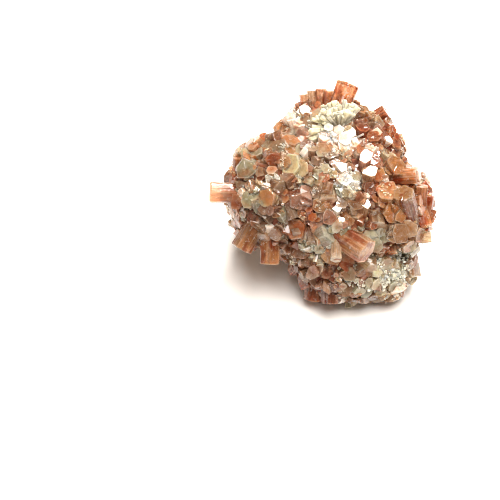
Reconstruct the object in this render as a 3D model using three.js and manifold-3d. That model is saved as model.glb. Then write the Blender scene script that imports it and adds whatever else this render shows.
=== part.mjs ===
// Aragonite sputnik cluster: one natural growth of pseudo-hexagonal aragonite prisms that radiate from a
// lumpy body, flat-ended and grown into each other. Millimetres, +Z up, resting on a small flat at z = 0.
//
// The cluster's best side, its display face, looks towards -Y and up. A crystal on that side has its place
// there as [right, up] from the middle of the body, in millimetres across the display face. Its aim is a
// share each of right, up and outward on that face. A crystal without an aim stands straight out of the body.
import * as THREE from "three";
import { mergeVertices } from "three/addons/utils/BufferGeometryUtils.js";
import Module from "manifold-3d";

// Driving dimensions.
const BODY_MIDDLE = new THREE.Vector3(1.5, 0.15, 19.5);
const DISPLAY_TILT = THREE.MathUtils.degToRad(48); // the display face's normal above the horizon
const MATRIX_DEPTH = 1.2; // how far the matrix lies below the surface that the crystals' ends make
const MATRIX_DETAIL = 1; // how often the matrix lumps' faces are split
const ROOT_DEPTH = 5; // how far a crystal's root reaches below that surface
const PRISM_SIDES = 6;
const ROOT_SHARE = 0.8; // a root's width over its end's width
const DISPLAY_TILT_PLAY = 0.25; // how far a crystal without an aim may lean
const FOOT_LEVEL = 0;
const SHORTEST_EDGE = 0.03; // edges below this are merged away

// The crystals spread over the rest of the body: how many places are tried, how unevenly they lie round the
// spiral, their least and greatest width and stand, how much those lean to the least, how far a crystal may
// lean, and the room that it needs, as a share of its own and its neighbour's width.
const SPREAD = {
  all: 210,
  waver: 0.25,
  wide: [3.9, 5.8],
  wideBias: 1.5,
  stand: [0.2, 1.5],
  standBias: 2,
  tilt: 0.42,
  room: 0.46,
};

const CHANCE_SEED = 7;
const GOLDEN_ANGLE = Math.PI * (3 - Math.sqrt(5));
const FAR_OFF = 100; // beyond everything, seen from the body's middle
const MERGE_DISTANCE = 1e-4; // corners of a three.js shape closer than this are one

// The body's lumps: middle, from the body's middle, and half-extents.
const LUMPS = [
  { name: "core", at: [1.5, 1, -0.5], half: [17, 18, 15.5] },
  { name: "left", at: [-11.5, -1.5, 2.8], half: [10.5, 12.5, 11.5] },
  { name: "crown", at: [0.8, 11, 6], half: [11, 9, 9.4] },
  { name: "right shoulder", at: [8.2, 7, 5], half: [8, 9, 9] },
  { name: "right", at: [12.2, -3.2, 0.2], half: [10.4, 11.2, 9.2] },
  { name: "belly", at: [4, -9.6, -8.6], half: [11.2, 9.4, 11] },
  { name: "foot", at: [11.4, -9, -12.2], half: [7.2, 8, 7.6] },
  { name: "back", at: [-2.5, 9.5, -6.5], half: [15, 11.5, 13.2] },
].map(({ name, at, half }) => ({
  name,
  middle: new THREE.Vector3(...at).add(BODY_MIDDLE),
  half: new THREE.Vector3(...half),
}));

const DISPLAY = {
  right: new THREE.Vector3(1, 0, 0),
  up: new THREE.Vector3(0, Math.sin(DISPLAY_TILT), Math.cos(DISPLAY_TILT)),
  outward: new THREE.Vector3(0, -Math.cos(DISPLAY_TILT), Math.sin(DISPLAY_TILT)),
};

const LEVEL = [0.1, 0.6, 0.79]; // an end that lies level and faces the sky

// The display face's crystals, [place, width, aim, stand], region by region.
const CROWN = [
  [[2.7, 20.4], 5.8, [0.36, 0.92, -0.1], 4.9], // the tower
  [[-4.9, 20.2], 2.8, [-0.12, 1, 0.1], 3.0], // the comb, four prisms side by side
  [[-3.3, 20.4], 2.8, [-0.05, 1, 0.1], 3.3],
  [[-1.6, 20.6], 2.8, [0, 1, 0.1], 3.4],
  [[0, 20.4], 2.8, [0.08, 1, 0.1], 3.1],
  [[-7.6, 19.4], 2.4, [-0.5, 0.8, 0.1], 1.6],
  [[-6.2, 20.0], 2.2, [-0.3, 0.95, 0.1], 1.8],
  [[-5.6, 18.2], 3.6, LEVEL, 1.0],
  [[-9.5, 15.8], 4.0, [-0.5, 0.4, 0.75], 1.4],
  [[-5.1, 16.4], 3.0, null, 0.9],
  [[4.9, 18.2], 3.0, [0.1, 0.7, 0.6], 1.0],
  [[7.5, 18.6], 3.4, [0.3, 0.7, 0.6], 1.2],
  [[10.2, 17.3], 3.8, [0.85, 0.5, 0.2], 3.4],
  [[13.3, 14.2], 3.0, [0.7, 0.3, 0.6], 1.4],
  [[7.5, 14.0], 3.0, null, 0.9],
  [[9.1, 12.2], 3.6, null, 0.7],
  [[15.1, 11.9], 3.0, [0.85, 0.4, 0.35], 1.6],
  [[12.9, 8.7], 3.6, null, 0.8],
];

const CREST = [
  [[0.9, 14.4], 3.4, LEVEL, 0.9],
  [[-1.8, 14.0], 3.0, null, 0.9],
  [[3.8, 13.5], 3.8, LEVEL, 0.9],
  [[4.9, 11.2], 3.4, LEVEL, 1.0],
  [[2.2, 11.1], 2.8, null, 0.6],
  [[-1.3, 9.3], 4.4, [-0.3, 0.5, 0.8], 1.4],
  [[2.0, 9.3], 3.4, null, 1.0],
  [[8.7, 7.8], 4.6, LEVEL, 0.9],
  [[10.2, 4.3], 4.4, [0.3, 0.55, 0.78], 0.9],
  [[0.9, 6.7], 2.8, null, 0.9],
  [[-2.2, 6.4], 2.8, null, 0.7],
  [[3.1, 3.1], 3.2, null, 1.5],
  [[7.5, 2.9], 3.2, null, 0.7],
  [[6.0, -1.3], 4.6, [0.1, 0.1, 1], 1.0],
];

const RIGHT_SIDE = [
  [[13.6, 4.2], 4.2, [0.97, 0.05, 0.2], 5.6],
  [[12.2, -0.4], 5.4, [0, 0.5, 0.86], 3.2],
  [[17.2, -3.6], 4.8, [-0.26, 0.64, 0.72], 6.4], // the honey prism that stands up from the right side
  [[20.0, -1.4], 3.0, [0.02, 0.95, 0.3], 3.8],
  [[21.4, -2.6], 3.0, [0.1, 0.98, 0.12], 2.8],
  [[20.4, -4.4], 3.4, [0.25, -0.9, 0.3], 2.4],
  [[13.6, -3.4], 4.8, null, 1.1],
  [[10.9, 0.0], 2.8, null, 0.9],
  [[8.4, -6.3], 2.6, [0.6, 0, 0.75], 1.6],
  [[14.4, -7.8], 4.8, null, 1.0],
  [[16.0, -10.5], 3.2, null, 1.0],
  [[18.8, -8.2], 4.2, [0.8, -0.2, 0.55], 1.2],
  [[19.2, -9.2], 2.8, [0.95, 0.1, 0.1], 3.2],
  [[11.6, -11.1], 3.4, null, 0.8],
];

const MIDDLE = [
  [[-4.6, 3.3], 3.0, null, 0.9],
  [[-1.3, 3.7], 3.0, null, 0.9],
  [[-7.1, -1.3], 4.4, null, 1.1],
  [[-1.2, 0.6], 3.0, null, 0.6],
  [[-2.0, -2.1], 3.8, null, 1.2],
  [[-0.4, -4.5], 3.8, [0.1, -0.2, 1], 1.5],
  [[2.8, -7.3], 3.0, null, 1.0],
  [[-7.0, -7.2], 5.0, [-0.35, 0.1, 0.9], 1.8],
  [[3.7, -9.4], 6.3, [0.75, -0.51, 0.45], 5.6], // the great orange prism
  [[1.3, -9.8], 2.8, [-0.03, -0.85, 0.5], 4.7], // the slim clear one beside it
  [[-2.4, -11.0], 2.8, null, 1.0],
];

const LEFT_SIDE = [
  [[-21.0, 0.7], 5.3, [-0.99, 0.02, 0.05], 5.2],
  [[-20.6, 3.2], 3.0, [-0.8, 0.2, 0.5], 0.9],
  [[-18.6, 10.6], 2.6, [-0.7, 0.5, 0.4], 1.6],
  [[-15.6, 9.0], 3.2, null, 0.9],
  [[-17.2, 5.6], 4.6, null, 1.0],
  [[-19.4, 5.4], 3.0, null, 0.8],
  [[-16.4, 1.9], 2.8, null, 0.9],
  [[-16.6, -1.6], 3.4, null, 0.8],
  [[-12.4, 7.9], 3.6, [-0.3, -0.1, 0.9], 1.0],
  [[-12.2, 3.1], 3.6, null, 1.0],
  [[-14.2, 12.3], 3.0, [-0.2, 0.5, 0.8], 1.1],
  [[-8.9, 12.6], 3.2, null, 0.9],
  [[-8.9, 9.8], 3.4, null, 0.8],
  [[-4.8, 10.6], 3.8, null, 1.1],
  [[-9.6, 6.9], 4.2, [-0.3, 0.1, 0.95], 1.3],
  [[-6.2, 6.7], 3.6, null, 0.9],
  [[-7.8, 3.4], 3.4, null, 1.0],
  [[-13.3, -0.6], 4.8, [-0.2, 0, 1], 1.4],
  [[-11.8, -3.6], 2.8, null, 1.1],
  [[-19.8, -3.1], 2.8, null, 1.1],
  [[-19.2, -5.7], 2.8, null, 1.0],
];

const UNDERSIDE = [
  [[-16.9, -7.6], 5.0, [-0.45, -0.8, -0.1], 4.6],
  [[-12.9, -10.2], 5.0, [0, -0.97, -0.1], 4.6],
  [[-12.2, -7.8], 4.2, [-0.3, -0.6, 0.7], 1.0],
  [[-6.0, -14.2], 2.8, null, 1.0],
  [[-2.2, -15.3], 4.4, null, 1.2],
  [[0.4, -14.2], 3.0, [0.5, -0.2, 0.8], 1.2],
  [[-3.2, -20.8], 4.8, [-0.12, -0.95, -0.2], 2.2],
  [[0.6, -21.4], 4.8, [0.05, -0.95, -0.2], 2.0],
  [[1.3, -19.6], 2.8, null, 1.0],
  [[1.8, -21.6], 2.8, [0, -0.8, 0.5], 1.0],
  [[9.3, -21.4], 2.8, [0.1, -0.9, 0.3], 1.4],
  [[6.6, -16.2], 3.4, null, 0.8],
  [[11.6, -15.0], 4.6, null, 0.9],
  [[16.4, -16.0], 3.8, null, 1.0],
  [[17.4, -14.0], 3.8, [0.8, -0.2, 0.5], 2.0],
  [[14.6, -19.2], 3.8, null, 1.0],
  [[9.3, -18.8], 3.8, null, 1.0],
  [[12.4, -21.0], 3.0, null, 1.0],
];

// A fan of thin spokes that spring from one place on the display face and open upwards.
const FAN = { place: [2.3, 15.4], aim: [-0.1, 1, 0.35], wide: 1.9, reach: 5.0, spokes: 9, lean: 0.8 };

// Crystals that point straight down and carry the cluster: place along X and Y from the body's middle, width.
const FEET = [
  [[-1.0, -9.0], 5.2],
  [[8.4, -12.2], 4.6],
  [[-7.2, 8.5], 5.0],
  [[4.2, 10.6], 4.8],
];

// A small, well-mixed pseudo-random stream of numbers from 0 to 1.
function stream(seed) {
  let state = seed;
  return () => {
    state = (state + 0x6d2b79f5) | 0;
    let mixed = Math.imul(state ^ (state >>> 15), 1 | state);
    mixed = (mixed + Math.imul(mixed ^ (mixed >>> 7), 61 | mixed)) ^ mixed;
    return ((mixed ^ (mixed >>> 14)) >>> 0) / 4294967296;
  };
}

// Where a ray meets a lump's ellipsoid: the near and the far distance, and how widely it misses (1 at the edge).
function crossings(origin, direction, lump) {
  const start = origin.clone().sub(lump.middle).divide(lump.half);
  const pace = direction.clone().divide(lump.half);
  const nearest = -start.dot(pace) / pace.dot(pace);
  const miss = start.clone().addScaledVector(pace, nearest).length();
  const half = Math.sqrt(Math.max(0, 1 - miss * miss)) / pace.length();
  return { near: nearest - half, far: nearest + half, miss };
}

// A point drawn onto a lump's surface, with the outward normal there.
function onLump(point, lump) {
  const scaled = point.clone().sub(lump.middle).divide(lump.half).normalize();
  return {
    point: scaled.clone().multiply(lump.half).add(lump.middle),
    normal: scaled.divide(lump.half).normalize(),
  };
}

// The body's surface under a place on the display face or, past the body's edge, the nearest lump's edge.
function onDisplay([right, up]) {
  const origin = BODY_MIDDLE.clone()
    .addScaledVector(DISPLAY.right, right)
    .addScaledVector(DISPLAY.up, up)
    .addScaledVector(DISPLAY.outward, FAR_OFF);
  const inward = DISPLAY.outward.clone().negate();
  const hits = LUMPS.map((lump) => ({ lump, ...crossings(origin, inward, lump) }));
  const met = hits.filter((hit) => hit.miss < 1).sort((a, b) => a.near - b.near)[0];
  const { lump, near } = met ?? hits.sort((a, b) => a.miss - b.miss)[0];
  return onLump(origin.addScaledVector(inward, near), lump);
}

// The body's surface in a direction from its middle.
function outwardFromMiddle(direction) {
  const hits = LUMPS.map((lump) => ({ lump, ...crossings(BODY_MIDDLE, direction, lump) }));
  const { lump, far } = hits.filter((hit) => hit.miss < 1).sort((a, b) => b.far - a.far)[0];
  return onLump(BODY_MIDDLE.clone().addScaledVector(direction, far), lump);
}

// The direction that an aim on the display face stands for.
function aimed([right, up, outward]) {
  return new THREE.Vector3()
    .addScaledVector(DISPLAY.right, right)
    .addScaledVector(DISPLAY.up, up)
    .addScaledVector(DISPLAY.outward, outward)
    .normalize();
}

// One crystal: where its axis crosses the body's surface, its direction, width, stand and turn.
function displayCrystal([place, wide, aim, stand], random) {
  const { point, normal } = onDisplay(place);
  const direction = aim ? aimed(aim) : tilted(normal, DISPLAY_TILT_PLAY, random);
  return { point, direction, wide, stand, turn: random() * Math.PI };
}

// A direction turned at random by up to an angle's tangent.
function tilted(direction, most, random) {
  const side = new THREE.Vector3(random() - 0.5, random() - 0.5, random() - 0.5);
  return direction.clone().addScaledVector(side, 2 * most).normalize();
}

// A ring of spokes that lean outward round one that stands straight.
function fanCrystals({ place, aim, wide, reach, spokes, lean }, random) {
  const { point } = onDisplay(place);
  const axis = aimed(aim);
  const across = DISPLAY.right.clone().cross(axis).normalize();
  const along = axis.clone().cross(across);
  return Array.from({ length: spokes }, (_, index) => {
    const around = (2 * Math.PI * index) / (spokes - 1);
    const slant = index === spokes - 1 ? 0 : lean;
    const direction = axis.clone()
      .addScaledVector(across, slant * Math.cos(around))
      .addScaledVector(along, slant * Math.sin(around))
      .normalize();
    return { point, direction, wide, stand: reach, turn: random() * Math.PI };
  });
}

function footCrystal([[x, y], wide]) {
  const point = new THREE.Vector3(BODY_MIDDLE.x + x, BODY_MIDDLE.y + y, FOOT_LEVEL);
  return { point, direction: new THREE.Vector3(0, 0, -1), wide, stand: 0, turn: 0 };
}

// A chance value in a range, nearer its least the greater the bias.
function biased([least, greatest], bias, random) {
  return least + (greatest - least) * random() ** bias;
}

// Crystals spread evenly over the rest of the body on a golden spiral, where none stands yet.
function spreadCrystals(placed, random) {
  for (let index = 0; index < SPREAD.all; index += 1) {
    const height = 1 - (2 * index + 1) / SPREAD.all;
    const ring = Math.sqrt(1 - height * height);
    const around = index * GOLDEN_ANGLE + SPREAD.waver * (random() - 0.5);
    const direction = new THREE.Vector3(ring * Math.cos(around), ring * Math.sin(around), height);
    const { point, normal } = outwardFromMiddle(direction);
    const wide = biased(SPREAD.wide, SPREAD.wideBias, random);
    const stand = biased(SPREAD.stand, SPREAD.standBias, random);
    const aim = tilted(normal, SPREAD.tilt, random);
    const turn = random() * Math.PI;
    const crowded = placed.some((other) => other.point.distanceTo(point) < SPREAD.room * (wide + other.wide));
    if (!crowded) placed.push({ point, direction: aim, wide, stand, turn });
  }
  return placed;
}

const wasm = await Module();
wasm.setup();

// A closed three.js geometry as a solid that can be joined and cut.
function solid(geometry) {
  const bare = geometry.clone();
  bare.deleteAttribute("normal");
  bare.deleteAttribute("uv");
  const merged = mergeVertices(bare, MERGE_DISTANCE);
  return new wasm.Manifold(
    new wasm.Mesh({
      numProp: 3,
      vertProperties: new Float32Array(merged.attributes.position.array),
      triVerts: new Uint32Array(merged.index.array),
    }),
  );
}

// A six-sided prism along a crystal's direction, flat at its end and a little narrower at its root.
function prism({ point, direction, wide, stand, turn }) {
  const length = ROOT_DEPTH + stand;
  const geometry = new THREE.CylinderGeometry(wide / 2, (ROOT_SHARE * wide) / 2, length, PRISM_SIDES);
  geometry.rotateY(turn);
  geometry.applyQuaternion(new THREE.Quaternion().setFromUnitVectors(new THREE.Vector3(0, 1, 0), direction));
  const middle = point.clone().addScaledVector(direction, stand - length / 2);
  return solid(geometry.translate(middle.x, middle.y, middle.z));
}

// The matrix that the crystals grow from: a lump drawn in by the matrix's depth.
function matrixLump({ middle, half }) {
  const geometry = new THREE.IcosahedronGeometry(1, MATRIX_DETAIL);
  geometry.scale(half.x - MATRIX_DEPTH, half.y - MATRIX_DEPTH, half.z - MATRIX_DEPTH);
  return solid(geometry.translate(middle.x, middle.y, middle.z));
}

// What lies below the level that the cluster rests on.
function belowFoot() {
  const size = 2 * FAR_OFF;
  return solid(new THREE.BoxGeometry(size, size, size).translate(0, 0, FOOT_LEVEL - size / 2));
}

// The one outer skin of a joined solid, with the sealed gaps between its crystals filled.
function outerSkin(joined) {
  const shells = joined.decompose().sort((a, b) => b.volume() - a.volume());
  if (shells.length > 1 && shells[1].volume() > 0) throw new Error("a crystal stands apart from the cluster");
  return shells[0];
}

function growCluster() {
  const random = stream(CHANCE_SEED);
  const placed = [CROWN, CREST, RIGHT_SIDE, MIDDLE, LEFT_SIDE, UNDERSIDE]
    .flat()
    .map((row) => displayCrystal(row, random));
  placed.push(...fanCrystals(FAN, random), ...FEET.map(footCrystal));
  const crystals = spreadCrystals(placed, random);
  const joined = wasm.Manifold.union([...LUMPS.map(matrixLump), ...crystals.map(prism)]);
  return outerSkin(joined.subtract(belowFoot())).simplify(SHORTEST_EDGE);
}

// A joined solid as a mesh with flat faces.
function facetedMesh(name, joined, material) {
  const { numProp, vertProperties, triVerts } = joined.getMesh();
  const geometry = new THREE.BufferGeometry();
  geometry.setAttribute("position", new THREE.BufferAttribute(new Float32Array(vertProperties), numProp));
  geometry.setIndex(new THREE.BufferAttribute(new Uint32Array(triVerts), 1));
  geometry.computeVertexNormals();
  const mesh = new THREE.Mesh(geometry, material);
  mesh.name = name;
  return mesh;
}

const aragonite = new THREE.MeshStandardMaterial({ color: 0xb9805c, roughness: 0.32, metalness: 0 });

const cluster = new THREE.Group();
cluster.add(facetedMesh("aragonite_cluster", growCluster(), aragonite));

export default cluster;
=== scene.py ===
"""Looks of an aragonite sputnik cluster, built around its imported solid.

The cluster is one natural growth. Its parts here are layers of that growth, each a class of its own: the
matrix between the crystals, the great prisms that the solid also has, middling and small crystals that fill
the ground between them, fans of thin spokes, and a sugary crust. Sizes are millimetres until a mesh is made,
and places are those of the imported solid. A place on the display face is given right and up from the body's
middle.
"""

import logging
import math
from dataclasses import dataclass, replace
from enum import Enum

import bpy
import numpy as np
from mathutils import Vector
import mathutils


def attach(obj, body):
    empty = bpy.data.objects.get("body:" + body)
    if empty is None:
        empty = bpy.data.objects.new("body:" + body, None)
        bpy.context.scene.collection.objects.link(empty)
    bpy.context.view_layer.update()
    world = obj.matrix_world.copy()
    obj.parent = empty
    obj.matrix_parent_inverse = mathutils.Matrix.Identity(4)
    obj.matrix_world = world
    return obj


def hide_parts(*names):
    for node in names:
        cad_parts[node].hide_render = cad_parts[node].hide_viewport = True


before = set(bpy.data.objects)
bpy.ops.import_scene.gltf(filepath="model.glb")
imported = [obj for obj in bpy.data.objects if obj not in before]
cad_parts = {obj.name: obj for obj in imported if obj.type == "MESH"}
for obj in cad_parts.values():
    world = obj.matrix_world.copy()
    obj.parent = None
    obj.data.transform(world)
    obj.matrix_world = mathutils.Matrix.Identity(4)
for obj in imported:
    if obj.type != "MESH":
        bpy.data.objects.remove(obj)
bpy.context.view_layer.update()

NODE = "aragonite_cluster"
BODY = "root"
MM = 0.001
GOLDEN_ANGLE = math.pi * (3 - math.sqrt(5))

LOG = logging.getLogger("aragonite")

Array = np.ndarray
Chance = np.random.Generator
Socket = bpy.types.NodeSocket
Vec = tuple[float, float, float]
Pair = tuple[float, float]


def linear(code: str) -> Array:
    """Turn a hash sign and six hexadecimal digits into linear light, by the standard display curve."""
    shown = np.array([int(code[at:at + 2], 16) for at in (1, 3, 5)]) / 255
    return np.where(shown <= 0.04045, shown / 12.92, ((shown + 0.055) / 1.055) ** 2.4)


def colour4(code: str) -> tuple[float, float, float, float]:
    """A display colour as the four linear values that a socket takes."""
    return (*linear(code), 1.0)


def unit(vectors: Array) -> Array:
    """Scale vectors, along the last axis, to length one."""
    return vectors / np.linalg.norm(vectors, axis=-1, keepdims=True)


def between(span: Pair, share: Array) -> Array:
    """Go a share of the way from a span's low end to its high end."""
    return span[0] + (span[1] - span[0]) * share


def mingled(first: Array, second: Array, share: Array) -> Array:
    """Mix two arrays, with a share of the second."""
    return first * (1 - share) + second * share


def spiral(count: int, swing: Array | float = 0.0) -> Array:
    """Spread directions evenly over a ball.

    Number i lies at height 1 - (2i + 1) / count and i golden angles round.

    Args:
        count: How many.
        swing: How much further round each one lies, in radians.

    Returns:
        Unit vectors, a row each.
    """
    index = np.arange(count)
    height = 1 - (2 * index + 1) / count
    around = index * GOLDEN_ANGLE + swing
    ring = np.sqrt(1 - height ** 2)
    return np.stack([ring * np.cos(around), ring * np.sin(around), height], axis=-1)


def strewn(count: int, waver: float, random: Chance) -> Array:
    """Stray from the spiral's directions by up to a share of the gap between neighbours."""
    gap = math.sqrt(4 * math.pi / count)
    return unit(spiral(count) + waver * gap * (random.random((count, 3)) - 0.5))


def roomy(points: Array, widths: Array, room: float, standing: int = 0) -> list[int]:
    """Go through places in turn, and keep those with room round them.

    A place is kept when it lies at least room times the sum of both widths from each one kept before it.

    Args:
        points: The places.
        widths: How wide a crystal each is for.
        room: The share of the two widths.
        standing: How many of the first places are taken already.

    Returns:
        The numbers of the places kept, without those taken already.
    """
    kept = list(range(standing))
    for index in range(standing, len(points)):
        gaps = np.linalg.norm(points[kept] - points[index], axis=1)
        if not (gaps < room * (widths[kept] + widths[index])).any():
            kept.append(index)
    return kept[standing:]


def shell_faces(around: int, levels: int) -> tuple[Array, Array]:
    """Join rings of points by quads, and close the first and the last ring by triangles to a pole each.

    Args:
        around: How many points a ring has.
        levels: How many rings there are. The poles' points follow the last one's.

    Returns:
        Quads and triangles, facing outwards where a ring's points run anticlockwise, seen from the last ring.
    """
    place = np.arange(around)
    following = (place + 1) % around
    low = np.arange(levels - 1)[:, None] * around
    high, last, pole = low + around, (levels - 1) * around, np.full(around, levels * around)
    quads = np.stack([low + place, low + following, high + following, high + place], axis=-1)
    first = np.stack([following, place, pole], axis=-1)
    return quads.reshape(-1, 4), np.concatenate(
        [first, np.stack([last + place, last + following, pole + 1], axis=-1)])


def in_scene(name: str, data: bpy.types.ID) -> bpy.types.Object:
    """Put a mesh, a lamp or a camera into the scene.

    Args:
        name: The object's name.
        data: What it shows.

    Returns:
        The new object, at the origin.
    """
    made = bpy.data.objects.new(name, data)
    bpy.context.scene.collection.objects.link(made)
    return made


def set_up(thing: bpy.types.Object, place: Array, towards: Vec | Array) -> None:
    """Set up a lamp or a camera so that it looks back at what it stands off from.

    Args:
        thing: The lamp or the camera.
        place: Where it goes, in metres.
        towards: The direction in which it stands off.
    """
    thing.location = place
    thing.rotation_mode = "QUATERNION"
    thing.rotation_quaternion = (-Vector(towards)).to_track_quat("-Z", "Y")


@dataclass(frozen=True)
class ToneColours:
    """A crystal's colours: its body; its deep colour, painted shade towards the root and in the end's heart;
    and its rim colour, a painted highlight at the edges that also lightens streaks on the sides.
    """

    body: str
    deep: str
    rim: str


class Tone(Enum):
    """The colours that crystals of the cluster come in."""

    UMBER = ToneColours("#8c4c30", "#5c2c1c", "#d09870")
    RUST = ToneColours("#b8561f", "#8a3612", "#eeaa74")
    ORANGE = ToneColours("#dc7f38", "#b85418", "#fac890")
    PEACH = ToneColours("#e8a870", "#c87030", "#fde2c2")
    TAN = ToneColours("#c89058", "#a05c28", "#f2dab4")
    TAUPE = ToneColours("#a8805c", "#7c4a2c", "#e8d0b4")
    PINK = ToneColours("#cc947c", "#a05a3c", "#f6dccc")
    CREAM = ToneColours("#eee0b4", "#c8a064", "#fff8e0")
    STRAW = ToneColours("#e6daa2", "#c2a868", "#f8f0cc")
    CHALK = ToneColours("#fff8ea", "#ecc8a4", "#ffffff")
    SAGE = ToneColours("#c6c6a4", "#8a8862", "#f4f4e2")
    CLEAR = ToneColours("#f0dcc0", "#d09860", "#fff8ea")

    @property
    def place(self) -> int:
        """Its row in the arrays of tones."""
        return list(Tone).index(self)


UMBER, RUST, ORANGE, PEACH, TAN, TAUPE, PINK, CREAM, STRAW, CHALK, SAGE, CLEAR = Tone


def tone_table(part: str) -> Array:
    """Linear colours of every tone's body, deep root or rim, one row a tone."""
    return np.array([linear(getattr(tone.value, part)) for tone in Tone])


class Stream:
    """A small, well-mixed pseudo-random stream from 0 to 1, the same one that places the solid's prisms."""

    def __init__(self, seed: int) -> None:
        """Start the stream at a seed."""
        self.state = seed

    def __call__(self) -> float:
        """Draw the next number: a counter whose bits are folded on themselves by shifts and products.

        Returns:
            The number.
        """
        mask, step, odd = 0xFFFFFFFF, 0x6D2B79F5, 61
        self.state = (self.state + step) & mask
        mixed = ((self.state ^ (self.state >> 15)) * (1 | self.state)) & mask
        folded = ((mixed ^ (mixed >> 7)) * (odd | mixed)) & mask
        mixed = ((mixed + folded) & mask) ^ mixed
        return (mixed ^ (mixed >> 14)) / (mask + 1)

    def row(self, count: int) -> Array:
        """Draw several numbers."""
        return np.array([self() for _ in range(count)])


@dataclass(frozen=True)
class DisplayFace:
    """The cluster's best side, which looks towards -Y and up by a tilt in degrees."""

    tilt: float = 48.0

    @property
    def axes(self) -> Array:
        """The directions right, up and outward, a row each."""
        rise, lie = math.sin(math.radians(self.tilt)), math.cos(math.radians(self.tilt))
        return np.array([[1.0, 0, 0], [0, rise, lie], [0, -lie, rise]])

    @property
    def outward(self) -> Array:
        """The face's own normal."""
        return self.axes[2]

    def turned(self, shares: Array | Vec | list[Pair]) -> Array:
        """Turn shares of right, up and, where it is given, outward into vectors in the part's frame."""
        return np.array(shares, float) @ self.axes[:np.shape(shares)[-1]]


@dataclass(frozen=True)
class Body:
    """The lumpy body whose surface the crystals' ends make.

    Each lump is an ellipsoid, given by its middle, from the body's middle, and its half-extents.
    """

    middle: Vec = (1.5, 0.15, 19.5)
    face: DisplayFace = DisplayFace()
    lumps: tuple[tuple[Vec, Vec], ...] = (
        ((1.5, 1, -0.5), (17, 18, 15.5)), ((-11.5, -1.5, 2.8), (10.5, 12.5, 11.5)),
        ((0.8, 11, 6), (11, 9, 9.4)), ((8.2, 7, 5), (8, 9, 9)), ((12.2, -3.2, 0.2), (10.4, 11.2, 9.2)),
        ((4, -9.6, -8.6), (11.2, 9.4, 11)), ((11.4, -9, -12.2), (7.2, 8, 7.6)),
        ((-2.5, 9.5, -6.5), (15, 11.5, 13.2)),
    )
    far_off: float = 100.0

    def _balls(self) -> tuple[Array, Array]:
        """The lumps' middles in the part's frame, and their half-extents, a row a lump."""
        middles, halves = np.array(self.lumps, float).swapaxes(0, 1)
        return middles + self.middle, halves

    def _crossings(self, origins: Array, directions: Array) -> tuple[Array, ...]:
        """Find where rays meet the lumps.

        In a lump's own units, where it is a ball of radius one, the nearest point of the ray to its middle
        gives how widely the ray misses, and Pythagoras gives the near and the far crossing.

        Args:
            origins: Where each ray starts.
            directions: Where each ray goes.

        Returns:
            Near distances, far distances and misses, a row a ray and a column a lump.
        """
        middles, halves = self._balls()
        start = (origins[:, None] - middles) / halves
        pace = directions[:, None] / halves
        paces = (pace ** 2).sum(-1)
        nearest = -(start * pace).sum(-1) / paces
        miss = np.linalg.norm(start + pace * nearest[..., None], axis=-1)
        reach = np.sqrt(np.maximum(0, 1 - miss ** 2) / paces)
        return nearest - reach, nearest + reach, miss

    def _met(self, origins: Array, directions: Array, distances: Array, chosen: Array) -> tuple[Array, Array]:
        """Follow each ray to one lump, and draw its end onto that lump's surface.

        Args:
            origins: Where each ray starts.
            directions: Where each ray goes.
            distances: How far off each lump is along each ray.
            chosen: The lump of each ray.

        Returns:
            The points on the surfaces, and the outward normals there.
        """
        middles, halves = (rows[chosen] for rows in self._balls())
        points = origins + directions * distances[np.arange(len(chosen)), chosen][:, None]
        scaled = unit((points - middles) / halves)
        return scaled * halves + middles, unit(scaled / halves)

    def on_display(self, places: list[Pair]) -> tuple[Array, Array]:
        """Find the body's surface under places on the display face.

        Args:
            places: Right and up from the body's middle, a pair a place.

        Returns:
            The points and the outward normals. Past the body's edge they are those of the nearest edge.
        """
        origins = self.middle + self.face.turned(places) + self.far_off * self.face.outward
        inward = np.broadcast_to(-self.face.outward, origins.shape)
        near, _, miss = self._crossings(origins, inward)
        met = miss < 1
        chosen = np.where(met.any(1), np.where(met, near, np.inf).argmin(1), miss.argmin(1))
        return self._met(origins, inward, near, chosen)

    def outward_from_middle(self, directions: Array) -> tuple[Array, Array]:
        """Find the body's outermost surface in directions from its middle.

        Args:
            directions: Unit vectors, a row each.

        Returns:
            The points and the outward normals.
        """
        origins = np.broadcast_to(np.array(self.middle), directions.shape)
        _, far, miss = self._crossings(origins, directions)
        return self._met(origins, directions, far, np.where(miss < 1, far, -np.inf).argmax(1))


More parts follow.
